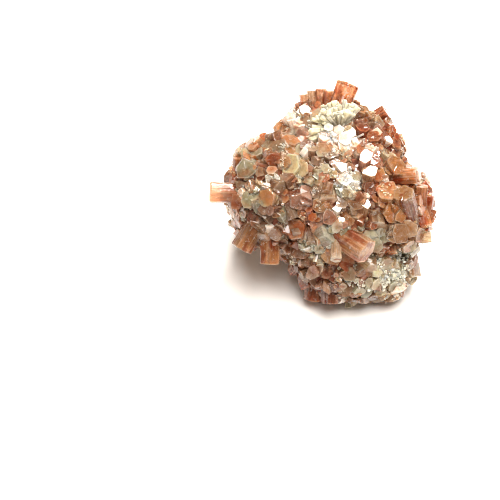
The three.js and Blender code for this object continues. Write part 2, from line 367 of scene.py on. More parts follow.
@dataclass
class Crystals:
    """Many crystals as arrays: where each axis crosses the body's surface, its direction and its sizes."""

    point: Array
    direction: Array
    wide: Array
    stand: Array
    turn: Array
    tone: Array
    depth: Array

    def __len__(self) -> int:
        """How many crystals there are."""
        return len(self.wide)

    @property
    def ends(self) -> Array:
        """The middles of the crystals' ends."""
        return self.point + self.direction * self.stand[:, None]

    def kept(self, chosen: Array | list[int]) -> "Crystals":
        """Keep the crystals that a mask or a list of numbers picks."""
        return Crystals(*(getattr(self, name)[chosen] for name in self.__dataclass_fields__))

    @staticmethod
    def joined(*groups: "Crystals") -> "Crystals":
        """Put groups of crystals one after another."""
        names = Crystals.__dataclass_fields__
        return Crystals(*(np.concatenate([getattr(group, name) for group in groups]) for name in names))

    def hold(self, points: Array, share: float, above: float = 1.5) -> Array:
        """Tell which points lie within any of the crystals.

        A point is within a crystal when its distance from the axis is less than a share of half the width,
        and it lies between the root and a little above the end.

        Args:
            points: The points.
            share: How much of a crystal's radius counts.
            above: How far above the end counts.

        Returns:
            A mask over the points.
        """
        offset = points[:, None] - self.point
        along = (offset * self.direction).sum(-1)
        aside = np.linalg.norm(offset - along[..., None] * self.direction, axis=-1)
        within = (aside < share * self.wide / 2) & (along > -self.depth) & (along < self.stand + above)
        return within.any(1)

    def clear_of(self, others: "Crystals", share: float) -> "Crystals":
        """Keep the crystals whose ends lie outside a share of the radius of all the others."""
        return self.kept(~others.hold(self.ends, share))

    def within(self, reach: Pair) -> "Crystals":
        """Keep the crystals whose ends, rims and all, lie within a reach from the origin in X and in Y.

        A rim lies half the width from the axis, and shows less of that where the crystal points along X or Y.

        Args:
            reach: How far the ends may lie from the origin in X and in Y.

        Returns:
            The crystals kept.
        """
        rim = 0.5 * self.wide[:, None] * np.sqrt(1 - self.direction[:, :2] ** 2)
        return self.kept((np.abs(self.ends)[:, :2] + rim < np.array(reach)).all(axis=1))


@dataclass(frozen=True)
class Spot:
    """One crystal of the display face: its place, width, stand above the surface, tone, and any aim."""

    right: float
    up: float
    wide: float
    stand: float
    tone: Tone
    aim: Vec | None = None


def spots(*rows: tuple) -> tuple[Spot, ...]:
    """Turn rows of right, up, width, stand, tone and, where it is known, aim into spots."""
    return tuple(Spot(*row) for row in rows)


# The aim of ends that throw the window's light at the camera: it lies halfway between the two.
LEVEL = (0.1, 0.6, 0.79)

# Crystals of the solid, in the order in which the stream places them, then those that are added to it: ends
# that catch the light, blocks between the great prisms, and small ones with a place of their own.
CROWN = spots(
    (2.7, 20.4, 5.8, 4.9, ORANGE, (0.36, 0.92, -0.1)), (-4.9, 20.2, 2.8, 3.0, PEACH, (-0.12, 1, 0.1)),
    (-3.3, 20.4, 2.8, 3.3, TAN, (-0.05, 1, 0.1)), (-1.6, 20.6, 2.8, 3.4, PEACH, (0, 1, 0.1)),
    (0, 20.4, 2.8, 3.1, ORANGE, (0.08, 1, 0.1)), (-7.6, 19.4, 2.4, 1.6, RUST, (-0.5, 0.8, 0.1)),
    (-6.2, 20.0, 2.2, 1.8, RUST, (-0.3, 0.95, 0.1)), (-5.6, 18.2, 3.6, 1.0, CREAM, LEVEL),
    (-9.5, 15.8, 4.0, 1.4, PEACH, (-0.5, 0.4, 0.75)), (-5.1, 16.4, 3.0, 0.9, TAN),
    (4.9, 18.2, 3.0, 1.0, PINK, (0.1, 0.7, 0.6)), (7.5, 18.6, 3.4, 1.2, TAN, (0.3, 0.7, 0.6)),
    (10.2, 17.3, 3.8, 3.4, RUST, (0.85, 0.5, 0.2)), (13.3, 14.2, 3.0, 1.4, ORANGE, (0.7, 0.3, 0.6)),
    (7.5, 14.0, 3.0, 0.9, ORANGE), (9.1, 12.2, 3.6, 0.7, TAUPE),
    (15.1, 11.9, 3.0, 1.6, ORANGE, (0.85, 0.4, 0.35)), (12.9, 8.7, 3.6, 0.8, TAUPE),
)

CREST = spots(
    (0.9, 14.4, 3.4, 0.9, CHALK, LEVEL), (-1.8, 14.0, 3.0, 0.9, CHALK), (3.8, 13.5, 3.8, 0.9, CHALK, LEVEL),
    (4.9, 11.2, 3.4, 1.0, CHALK, LEVEL), (2.2, 11.1, 2.8, 0.6, CHALK),
    (-1.3, 9.3, 4.4, 1.4, CREAM, (-0.3, 0.5, 0.8)), (2.0, 9.3, 3.4, 1.0, CREAM),
    (8.7, 7.8, 4.6, 0.9, PINK, LEVEL), (10.2, 4.3, 4.4, 0.9, TAN, (0.3, 0.55, 0.78)),
    (0.9, 6.7, 2.8, 0.9, PINK), (-2.2, 6.4, 2.8, 0.7, TAUPE), (3.1, 3.1, 3.2, 1.5, CHALK),
    (7.5, 2.9, 3.2, 0.7, TAUPE), (6.0, -1.3, 4.6, 1.0, TAUPE, (0.1, 0.1, 1)),
)

RIGHT_SIDE = spots(
    (13.6, 4.2, 4.2, 5.6, PEACH, (0.97, 0.05, 0.2)), (12.2, -0.4, 5.4, 3.2, TAN, (0, 0.5, 0.86)),
    (17.2, -3.6, 4.8, 6.4, TAN, (-0.26, 0.64, 0.72)), (20.0, -1.4, 3.0, 3.8, PEACH, (0.02, 0.95, 0.3)),
    (21.4, -2.6, 3.0, 2.8, ORANGE, (0.1, 0.98, 0.12)), (20.4, -4.4, 3.4, 2.4, PEACH, (0.25, -0.9, 0.3)),
    (13.6, -3.4, 4.8, 1.1, TAN), (10.9, 0.0, 2.8, 0.9, PEACH), (8.4, -6.3, 2.6, 1.6, RUST, (0.6, 0, 0.75)),
    (14.4, -7.8, 4.8, 1.0, TAUPE), (16.0, -10.5, 3.2, 1.0, PEACH),
    (18.8, -8.2, 4.2, 1.2, TAUPE, (0.8, -0.2, 0.55)), (19.2, -9.2, 2.8, 3.2, CREAM, (0.95, 0.1, 0.1)),
    (11.6, -11.1, 3.4, 0.8, PINK),
)

MIDDLE = spots(
    (-4.6, 3.3, 3.0, 0.9, TAUPE), (-1.3, 3.7, 3.0, 0.9, RUST), (-7.1, -1.3, 4.4, 1.1, PINK),
    (-1.2, 0.6, 3.0, 0.6, TAUPE), (-2.0, -2.1, 3.8, 1.2, TAN), (-0.4, -4.5, 3.8, 1.5, PINK, (0.1, -0.2, 1)),
    (2.8, -7.3, 3.0, 1.0, SAGE), (-7.0, -7.2, 5.0, 1.8, ORANGE, (-0.35, 0.1, 0.9)),
    (3.7, -9.4, 6.3, 5.6, PEACH, (0.75, -0.51, 0.45)), (1.3, -9.8, 2.8, 4.7, CLEAR, (-0.03, -0.85, 0.5)),
    (-2.4, -11.0, 2.8, 1.0, SAGE),
)

LEFT_SIDE = spots(
    (-21.0, 0.7, 5.3, 5.2, PEACH, (-0.99, 0.02, 0.05)), (-20.6, 3.2, 3.0, 0.9, RUST, (-0.8, 0.2, 0.5)),
    (-18.6, 10.6, 2.6, 1.6, PEACH, (-0.7, 0.5, 0.4)), (-15.6, 9.0, 3.2, 0.9, SAGE),
    (-17.2, 5.6, 4.6, 1.0, SAGE), (-19.4, 5.4, 3.0, 0.8, TAUPE), (-16.4, 1.9, 2.8, 0.9, TAUPE),
    (-16.6, -1.6, 3.4, 0.8, SAGE), (-12.4, 7.9, 3.6, 1.0, RUST, (-0.3, -0.1, 0.9)),
    (-12.2, 3.1, 3.6, 1.0, SAGE), (-14.2, 12.3, 3.0, 1.1, ORANGE, (-0.2, 0.5, 0.8)),
    (-8.9, 12.6, 3.2, 0.9, TAUPE), (-8.9, 9.8, 3.4, 0.8, TAN), (-4.8, 10.6, 3.8, 1.1, PINK),
    (-9.6, 6.9, 4.2, 1.3, PEACH, (-0.3, 0.1, 0.95)), (-6.2, 6.7, 3.6, 0.9, SAGE),
    (-7.8, 3.4, 3.4, 1.0, CREAM), (-13.3, -0.6, 4.8, 1.4, CREAM, (-0.2, 0, 1)), (-11.8, -3.6, 2.8, 1.1, TAN),
    (-19.8, -3.1, 2.8, 1.1, PINK), (-19.2, -5.7, 2.8, 1.0, PINK),
)

UNDERSIDE = spots(
    (-16.9, -7.6, 5.0, 4.6, TAN, (-0.45, -0.8, -0.1)), (-12.9, -10.2, 5.0, 4.6, TAN, (0, -0.97, -0.1)),
    (-12.2, -7.8, 4.2, 1.0, TAUPE, (-0.3, -0.6, 0.7)), (-6.0, -14.2, 2.8, 1.0, CREAM),
    (-2.2, -15.3, 4.4, 1.2, TAUPE), (0.4, -14.2, 3.0, 1.2, UMBER, (0.5, -0.2, 0.8)),
    (-3.2, -20.8, 4.8, 2.2, RUST, (-0.12, -0.95, -0.2)), (0.6, -21.4, 4.8, 2.0, UMBER, (0.05, -0.95, -0.2)),
    (1.3, -19.6, 2.8, 1.0, UMBER), (1.8, -21.6, 2.8, 1.0, UMBER, (0, -0.8, 0.5)),
    (9.3, -21.4, 2.8, 1.4, UMBER, (0.1, -0.9, 0.3)), (6.6, -16.2, 3.4, 0.8, TAUPE),
    (11.6, -15.0, 4.6, 0.9, TAUPE), (16.4, -16.0, 3.8, 1.0, SAGE),
    (17.4, -14.0, 3.8, 2.0, PINK, (0.8, -0.2, 0.5)), (14.6, -19.2, 3.8, 1.0, SAGE),
    (9.3, -18.8, 3.8, 1.0, SAGE), (12.4, -21.0, 3.0, 1.0, CREAM),
)

GLINTS = spots(
    (-13.8, -9.6, 2.2, 5.4, CHALK, LEVEL), (7.4, 6.8, 4.2, 2.9, PINK, LEVEL),
    (8.3, 3.6, 3.6, 2.7, TAN, LEVEL), (7.2, -3.4, 2.8, 2.8, TAN, LEVEL), (2.0, -6.3, 1.8, 1.8, CHALK, LEVEL),
    (2.4, 4.9, 2.8, 1.9, CHALK, LEVEL), (4.6, 12.6, 3.4, 1.7, CHALK, LEVEL),
    (-5.4, 18.4, 3.2, 1.6, CHALK, LEVEL), (1.3, -3.4, 2.6, 1.2, CHALK, LEVEL),
)

BLOCKS = spots(
    (-19.0, 9.0, 2.6, 1.8, CREAM), (-16.1, 9.8, 3.0, 1.7, PEACH),
    (-17.6, 5.5, 5.0, 2.0, SAGE, (-0.3, 0.1, 0.95)), (-12.7, 8.1, 3.8, 2.0, RUST, (0.25, -0.2, 0.92)),
    (2.0, 13.4, 2.6, 2.4, CHALK, (0.0, 0.4, 0.9)), (0.2, 14.0, 2.4, 2.2, CHALK, (-0.2, 0.5, 0.85)),
    (3.8, 13.8, 2.2, 2.2, CREAM, (0.2, 0.4, 0.9)), (-12.2, 3.2, 3.8, 1.6, SAGE),
    (-8.7, 11.0, 4.6, 1.8, PEACH), (-7.8, 6.4, 5.2, 2.2, CREAM, (-0.35, 0.2, 0.92)),
    (-12.9, -0.4, 4.8, 2.0, CREAM, (-0.5, -0.1, 0.85)), (-7.2, -1.1, 4.8, 1.9, PINK),
    (-17.2, -1.2, 3.6, 1.6, SAGE), (9.4, 12.2, 3.8, 1.8, TAUPE), (7.3, 13.9, 3.4, 1.8, RUST),
    (13.4, 5.4, 5.6, 3.0, TAN, (0.4, 0.45, 0.8)), (8.0, 1.6, 3.2, 1.4, UMBER),
    (5.9, -1.2, 4.8, 1.9, TAUPE, (-0.3, -0.1, 0.95)), (13.2, -3.5, 4.8, 1.9, TAN, (0.3, -0.3, 0.9)),
    (14.7, -7.8, 5.0, 1.8, TAUPE, (0.3, -0.2, 0.93)), (16.3, -10.3, 3.6, 1.6, PEACH),
    (11.8, -14.2, 4.2, 1.6, SAGE), (14.6, -15.2, 3.6, 1.9, CREAM, (-0.5, 0.4, 0.75)),
    (16.8, -13.0, 3.2, 1.5, SAGE), (9.7, -18.6, 3.4, 1.4, CREAM), (13.6, -19.0, 3.4, 1.5, SAGE),
    (11.4, -20.3, 2.6, 1.4, CREAM), (17.6, -16.8, 2.8, 1.3, CREAM),
)

SMALL_SPOTS = spots(
    (13.7, 4.3, 3.6, 6.0, CHALK, (0.97, 0.05, 0.2)), (-8.0, 18.2, 2.6, 1.0, SAGE),
    (-11.3, 15.1, 2.4, 1.2, PEACH, (-0.85, 0.2, 0.45)), (-1.1, 17.1, 2.6, 1.4, SAGE, (-0.2, 0, 0.95)),
    (12.4, 12.0, 2.6, 1.2, CHALK), (15.8, 9.8, 2.6, 1.4, RUST, (0.9, 0.2, 0.3)),
    (-4.0, 13.1, 2.6, 0.9, CHALK), (3.8, 6.0, 2.4, 0.8, TAUPE),
    (1.1, 4.2, 2.2, 1.2, CREAM, (-0.4, 0.3, 0.8)), (5.2, 3.8, 2.4, 1.3, CREAM, (0.4, 0.2, 0.8)),
    (3.4, 0.8, 2.4, 1.3, CREAM, (0, -0.3, 0.9)), (8.6, 0.9, 2.2, 0.9, PINK), (9.2, -4.2, 2.6, 0.8, TAUPE),
    (11.2, -7.6, 2.6, 0.6, SAGE), (18.8, -11.5, 2.4, 1.2, RUST, (0.8, -0.2, 0.4)),
    (-4.2, 0.4, 2.6, 0.7, TAN), (-3.6, -4.6, 2.4, 1.0, ORANGE), (4.0, -5.4, 2.6, 0.8, PEACH),
    (0.3, -7.2, 2.2, 1.0, SAGE), (-5.8, -10.6, 2.2, 1.0, SAGE), (-0.1, -11.8, 2.4, 0.8, PEACH),
    (-19.8, 7.9, 2.4, 1.2, RUST, (-0.9, 0.2, 0.3)), (-17.9, 8.6, 2.6, 1.4, CREAM, (-0.3, 0.2, 0.9)),
    (-18.6, -0.2, 2.6, 1.1, CHALK), (-14.7, 4.2, 2.6, 0.6, RUST), (-11.7, 12.7, 2.6, 0.9, ORANGE),
    (-16.2, -5.2, 2.6, 0.2, RUST), (-4.6, -17.6, 2.2, 1.0, TAUPE), (3.3, -16.6, 2.6, 1.0, CREAM),
    (5.6, -20.8, 2.4, 1.2, ORANGE, (0.1, -0.9, 0.35)),
)


@dataclass(frozen=True)
class Zone:
    """A patch of the cluster with its own colours: its middle, its reach, and each tone's share.

    The middle is a place on the display face or, with three numbers, a point in the part's frame.
    """

    middle: Pair | Vec
    reach: float
    shares: dict[Tone, float]


ZONES = (
    # The dark umber at the base is painted shade, where the underside lies in shade.
    Zone((-1.6, -20.0), 5.4, {UMBER: 7, RUST: 3, TAUPE: 1}),
    Zone((13.0, -17.5), 7.5, {SAGE: 6, CREAM: 4, CHALK: 1}),
    Zone((18.0, 0.0), 7.0, {ORANGE: 4, RUST: 3, PEACH: 2}),
    Zone((14.5, 9.5), 5.0, {RUST: 4, ORANGE: 2, CHALK: 1, TAUPE: 2}),
    Zone((-3.0, 20.5), 3.5, {ORANGE: 4, PEACH: 4, RUST: 1}),
    Zone((1.5, 17.5), 3.6, {CREAM: 6, SAGE: 3}),
    Zone((-6.0, 17.5), 3.5, {CREAM: 4, SAGE: 2, CHALK: 3}),
    # The white of the crest is partly the crystals' own white and partly painted highlight, where it faces the
    # light.
    Zone((1.5, 13.0), 5.0, {CHALK: 7, CREAM: 2, PINK: 1}),
    Zone((7.0, 15.5), 4.5, {PINK: 4, RUST: 3, TAN: 3}),
    # The white of the nest is partly the crystals' own white and partly painted highlight, as on the crest.
    Zone((3.1, 3.3), 3.2, {CHALK: 5, CREAM: 5}),
    Zone((7.8, 4.5), 3.8, {TAUPE: 4, RUST: 3, UMBER: 2, PINK: 2}),
    Zone((-16.5, -0.5), 4.2, {SAGE: 4, CREAM: 2, TAUPE: 5}),
    Zone((-14.0, 11.0), 5.0, {ORANGE: 3, TAN: 5, TAUPE: 3, SAGE: 2}),
    Zone((-13.5, 6.0), 3.5, {RUST: 4, UMBER: 4, TAUPE: 3}),
    Zone((-7.0, 5.0), 4.0, {SAGE: 4, CREAM: 3, PEACH: 2}),
    # The dark umber of the valley between the lobes and of the low left is painted shade, where these lie in
    # shade.
    Zone((-12.5, -5.0), 4.0, {UMBER: 5, TAUPE: 4, SAGE: 1}),
    Zone((-15.0, -8.0), 5.0, {UMBER: 5, RUST: 2, TAN: 1, TAUPE: 4}),
    Zone((-3.0, -1.0), 5.5, {PINK: 4, TAUPE: 4, TAN: 2}),
    Zone((-1.5, -10.0), 4.5, {SAGE: 5, CREAM: 2, PEACH: 3}),
    Zone((-5.0, -15.0), 3.0, {CREAM: 4, TAUPE: 2, CHALK: 2}),
    Zone((9.5, -8.5), 4.0, {TAN: 4, SAGE: 3, PINK: 2}),
    Zone((-8.0, 20.0, 12.0), 9.0, {CREAM: 4, SAGE: 4, TAN: 2}),
    Zone((9.0, 19.0, 20.0), 9.0, {RUST: 5, ORANGE: 4, TAN: 2}),
    Zone((-4.0, 17.0, 30.0), 8.0, {CHALK: 4, CREAM: 3, PINK: 2}),
    Zone((4.0, 6.0, 0.0), 9.0, {UMBER: 4, RUST: 3, TAUPE: 4}),
    Zone((-20.0, 8.0, 18.0), 8.0, {ORANGE: 4, PEACH: 4, SAGE: 2}),
    Zone((20.0, 10.0, 10.0), 8.0, {TAN: 4, SAGE: 3, RUST: 2}),
)
ELSEWHERE = {
    TAN: 2.6, UMBER: 1.0, TAUPE: 2.2, PEACH: 1.6, ORANGE: 1.6, RUST: 1.6, PINK: 1.6, CREAM: 0.8, SAGE: 0.8,
}


@dataclass(frozen=True)
class Waves:
    """A soft, cloudy field in space: the sum of sine waves of chance direction and length."""

    lengths: Pair
    count: int
    seed: int
    shortness: float = 1.5

    def at(self, points: Array) -> Array:
        """Work out the field at points, with a spread of one round nought.

        Args:
            points: The places.

        Returns:
            A value a place.
        """
        random = np.random.default_rng(self.seed)
        length = between(self.lengths, random.random(self.count) ** self.shortness)
        wave = unit(random.standard_normal((self.count, 3))) * (2 * math.pi / length)[:, None]
        phase = 2 * math.pi * random.random(self.count)
        return (np.sin(points @ wave.T + phase) * np.sqrt(length)).sum(1) / np.sqrt(length.sum() / 2)


@dataclass(frozen=True)
class Colouring:
    """Which tone a crystal takes where it grows, and the colour of the ground round it.

    A logistic curve of the given steepness turns numbers of the bell curve into even ones from 0 to 1.
    """

    body: Body
    background: float = 0.3
    chance: Waves = Waves((4.0, 9.0), 40, 71)
    own_chance: float = 0.8
    steepness: float = 1.7

    def _chances(self, points: Array) -> Array:
        """Work out the chance of each tone at each point.

        A zone's say falls off as the bell curve of distance over its reach; the shares of all zones and of
        the background add up to a chance for each tone.

        Args:
            points: The places.

        Returns:
            A row a place and a column a tone, each row adding up to one.
        """
        middles, _ = self.body.on_display([zone.middle[:2] for zone in ZONES])
        middles = np.array([middle if len(zone.middle) == 2 else zone.middle
                            for zone, middle in zip(ZONES, middles)])
        shares = np.array([[zone.shares.get(tone, 0) for tone in Tone] for zone in ZONES], float)
        shares /= shares.sum(1, keepdims=True)
        ground = np.array([ELSEWHERE.get(tone, 0) for tone in Tone])
        distance = np.linalg.norm(points[:, None] - middles, axis=-1)
        say = np.exp(-(distance / [zone.reach for zone in ZONES]) ** 2)
        chance = say @ shares + self.background * ground / ground.sum()
        return chance / chance.sum(1, keepdims=True)

    def tones(self, points: Array, random: Chance) -> Array:
        """Draw a tone for each point from the zones round it, alike for neighbours as often as not.

        Args:
            points: Where the crystals stand.
            random: The source of chance.

        Returns:
            The row of each crystal's tone.
        """
        drawn = self.chance.at(points) + self.own_chance * random.standard_normal(len(points))
        even = 1 / (1 + np.exp(-self.steepness * drawn / math.hypot(1, self.own_chance)))
        steps = np.cumsum(self._chances(points), axis=1)
        return (even[:, None] > steps).sum(1).clip(0, len(Tone) - 1)

    def ground(self, points: Array, part: str) -> Array:
        """The mean body, deep or rim colour round each point, a row a place."""
        return self._chances(points) @ tone_table(part)


@dataclass(frozen=True)
class Growth:
    """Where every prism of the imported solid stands, worked out again from the same sizes and the same stream.

    Each foot is given by its place, from the body's middle in X and Y, and its width.
    """

    body: Body = Body()
    seed: int = 7
    root_depth: float = 5.0
    tilt: float = 0.25
    fan_place: Pair = (2.3, 15.4)
    fan_aim: Vec = (-0.1, 1, 0.35)
    fan_wide: float = 1.9
    fan_reach: float = 5.0
    fan_spokes: int = 9
    fan_lean: float = 0.8
    feet: tuple[Vec, ...] = ((-1.0, -9.0, 5.2), (8.4, -12.2, 4.6), (-7.2, 8.5, 5.0), (4.2, 10.6, 4.8))
    spread_all: int = 210
    spread_swing: float = 0.25
    spread_wide: Pair = (3.9, 5.8)
    spread_stand: Pair = (0.2, 1.5)
    spread_tilt: float = 0.42
    spread_room: float = 0.46

    def _gathered(self, rows: list[tuple]) -> Crystals:
        """Gather rows of point, direction, width, stand, turn and tone into arrays."""
        return Crystals(*(np.array(column) for column in zip(*rows)), np.full(len(rows), self.root_depth))

    def listed(self, listed: tuple[Spot, ...], draw: Stream) -> Crystals:
        """Place listed crystals on the display face.

        Args:
            listed: The crystals as listed.
            draw: The stream of chance for the aim of those without one, and for every turn.

        Returns:
            The crystals, in the same order.
        """
        points, normals = self.body.on_display([(spot.right, spot.up) for spot in listed])
        rows = []
        for spot, point, normal in zip(listed, points, normals):
            if spot.aim:
                direction = unit(self.body.face.turned(spot.aim))
            else:
                direction = unit(normal + 2 * self.tilt * (draw.row(3) - 0.5))
            rows.append((point, direction, spot.wide, spot.stand, draw() * math.pi, spot.tone.place))
        return self._gathered(rows)

    def _fan(self, draw: Stream) -> Crystals:
        """Place the fan: a ring of spokes that lean outward round one that stands straight.

        Args:
            draw: The stream of chance for every turn.

        Returns:
            The spokes.
        """
        (point,), _ = self.body.on_display([self.fan_place])
        axis = unit(self.body.face.turned(self.fan_aim))
        across = unit(np.cross((1.0, 0, 0), axis))
        along = np.cross(axis, across)
        ring = self.fan_spokes - 1
        rows = []
        for index in range(self.fan_spokes):
            around = 2 * math.pi * index / ring
            slant = self.fan_lean * (index < ring)
            direction = unit(axis + slant * (math.cos(around) * across + math.sin(around) * along))
            rows.append((point, direction, self.fan_wide, self.fan_reach, draw() * math.pi, STRAW.place))
        return self._gathered(rows)

    def _foot_crystals(self) -> Crystals:
        """Place the feet, the crystals that point straight down and carry the cluster.

        Returns:
            The feet.
        """
        x, y, _ = self.body.middle
        return self._gathered([((x + dx, y + dy, 0), (0, 0, -1.0), wide, 0.0, 0.0, TAN.place)
                               for dx, dy, wide in self.feet])

    def _spread(self, placed: Crystals, draw: Stream) -> Crystals:
        """Spread crystals over the rest of the body on a golden spiral, where none stands yet.

        Seven draws give each one its swing round the spiral, its width and stand, raised to powers so that
        most are small, the three parts of its tilt, and its turn.

        Args:
            placed: The crystals that stand already.
            draw: The stream of chance.

        Returns:
            The new crystals.
        """
        draws = np.array([draw.row(7) for _ in range(self.spread_all)])
        outward = spiral(self.spread_all, self.spread_swing * (draws[:, 0] - 0.5))
        points, normals = self.body.outward_from_middle(outward)
        wide = between(self.spread_wide, draws[:, 1] ** 1.5)
        stand = between(self.spread_stand, draws[:, 2] ** 2)
        aim = unit(normals + 2 * self.spread_tilt * (draws[:, 3:6] - 0.5))
        tones = np.zeros(len(points), int)
        depth = np.full(len(points), self.root_depth)
        spread = Crystals(points, aim, wide, stand, draws[:, 6] * math.pi, tones, depth)
        both = Crystals.joined(placed, spread)
        spread = both.kept(roomy(both.point, both.wide, self.spread_room, len(placed)))
        spread.tone = Colouring(self.body).tones(spread.point, np.random.default_rng(self.seed))
        return spread

    def grow(self) -> tuple[Crystals, Crystals, Crystals]:
        """Place every prism of the solid.

        Returns:
            The display face's prisms with the feet, the fan's spokes, and the prisms spread over the rest.
        """
        draw = Stream(self.seed)
        shown = self.listed(CROWN + CREST + RIGHT_SIDE + MIDDLE + LEFT_SIDE + UNDERSIDE, draw)
        fan, feet = self._fan(draw), self._foot_crystals()
        return Crystals.joined(shown, feet), fan, self._spread(Crystals.joined(shown, fan, feet), draw)


@dataclass
class Surface:
    """A mesh as arrays: points in millimetres, faces, and what each point carries for the material."""

    points: Array
    quads: Array
    triangles: Array
    tint: Array
    grain: Array
    end: Array

    @staticmethod
    def joined(*parts: "Surface") -> "Surface":
        """Make several surfaces one, with the numbers in the faces moved on by the points before.

        Args:
            parts: The surfaces.

        Returns:
            The one surface.
        """
        steps = np.cumsum([0] + [len(part.points) for part in parts[:-1]])
        return Surface(*(
            np.concatenate([getattr(part, name) + step * (name in ("quads", "triangles"))
                            for part, step in zip(parts, steps)])
            for name in Surface.__dataclass_fields__
        ))

    def piece(self, name: str, finish: bpy.types.Material) -> bpy.types.Object:
        """Make the mesh an object at the origin, riding on the body and replacing the plain solid.

        Args:
            name: The piece's name.
            finish: Its material.

        Returns:
            The new object.
        """
        mesh = bpy.data.meshes.new(name)
        corners = np.concatenate([self.quads.ravel(), self.triangles.ravel()])
        sizes = np.repeat([4, 3], [len(self.quads), len(self.triangles)])
        mesh.vertices.add(len(self.points))
        mesh.vertices.foreach_set("co", (self.points * MM).astype(np.float32).ravel())
        mesh.loops.add(len(corners))
        mesh.loops.foreach_set("vertex_index", corners.astype(np.int32))
        mesh.polygons.add(len(sizes))
        mesh.polygons.foreach_set("loop_start", (np.cumsum(sizes) - sizes).astype(np.int32))
        mesh.polygons.foreach_set("loop_total", sizes.astype(np.int32))
        mesh.update(calc_edges=True)
        mesh.shade_flat()
        tint = np.concatenate([self.tint, np.ones((len(self.tint), 1))], axis=1)
        for holder, label, kind, key, values in (
            (mesh.color_attributes, "tint", "FLOAT_COLOR", "color", tint),
            (mesh.attributes, "grain", "FLOAT_VECTOR", "vector", self.grain),
            (mesh.attributes, "end", "FLOAT", "value", self.end),
        ):
            holder.new(label, kind, "POINT").data.foreach_set(key, values.astype(np.float32).ravel())
        mesh.materials.append(finish)
        made = in_scene(name, mesh)
        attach(made, BODY)
        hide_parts(NODE)
        LOG.info("%s: %d points, %d faces", name, len(self.points), len(sizes))
        return made


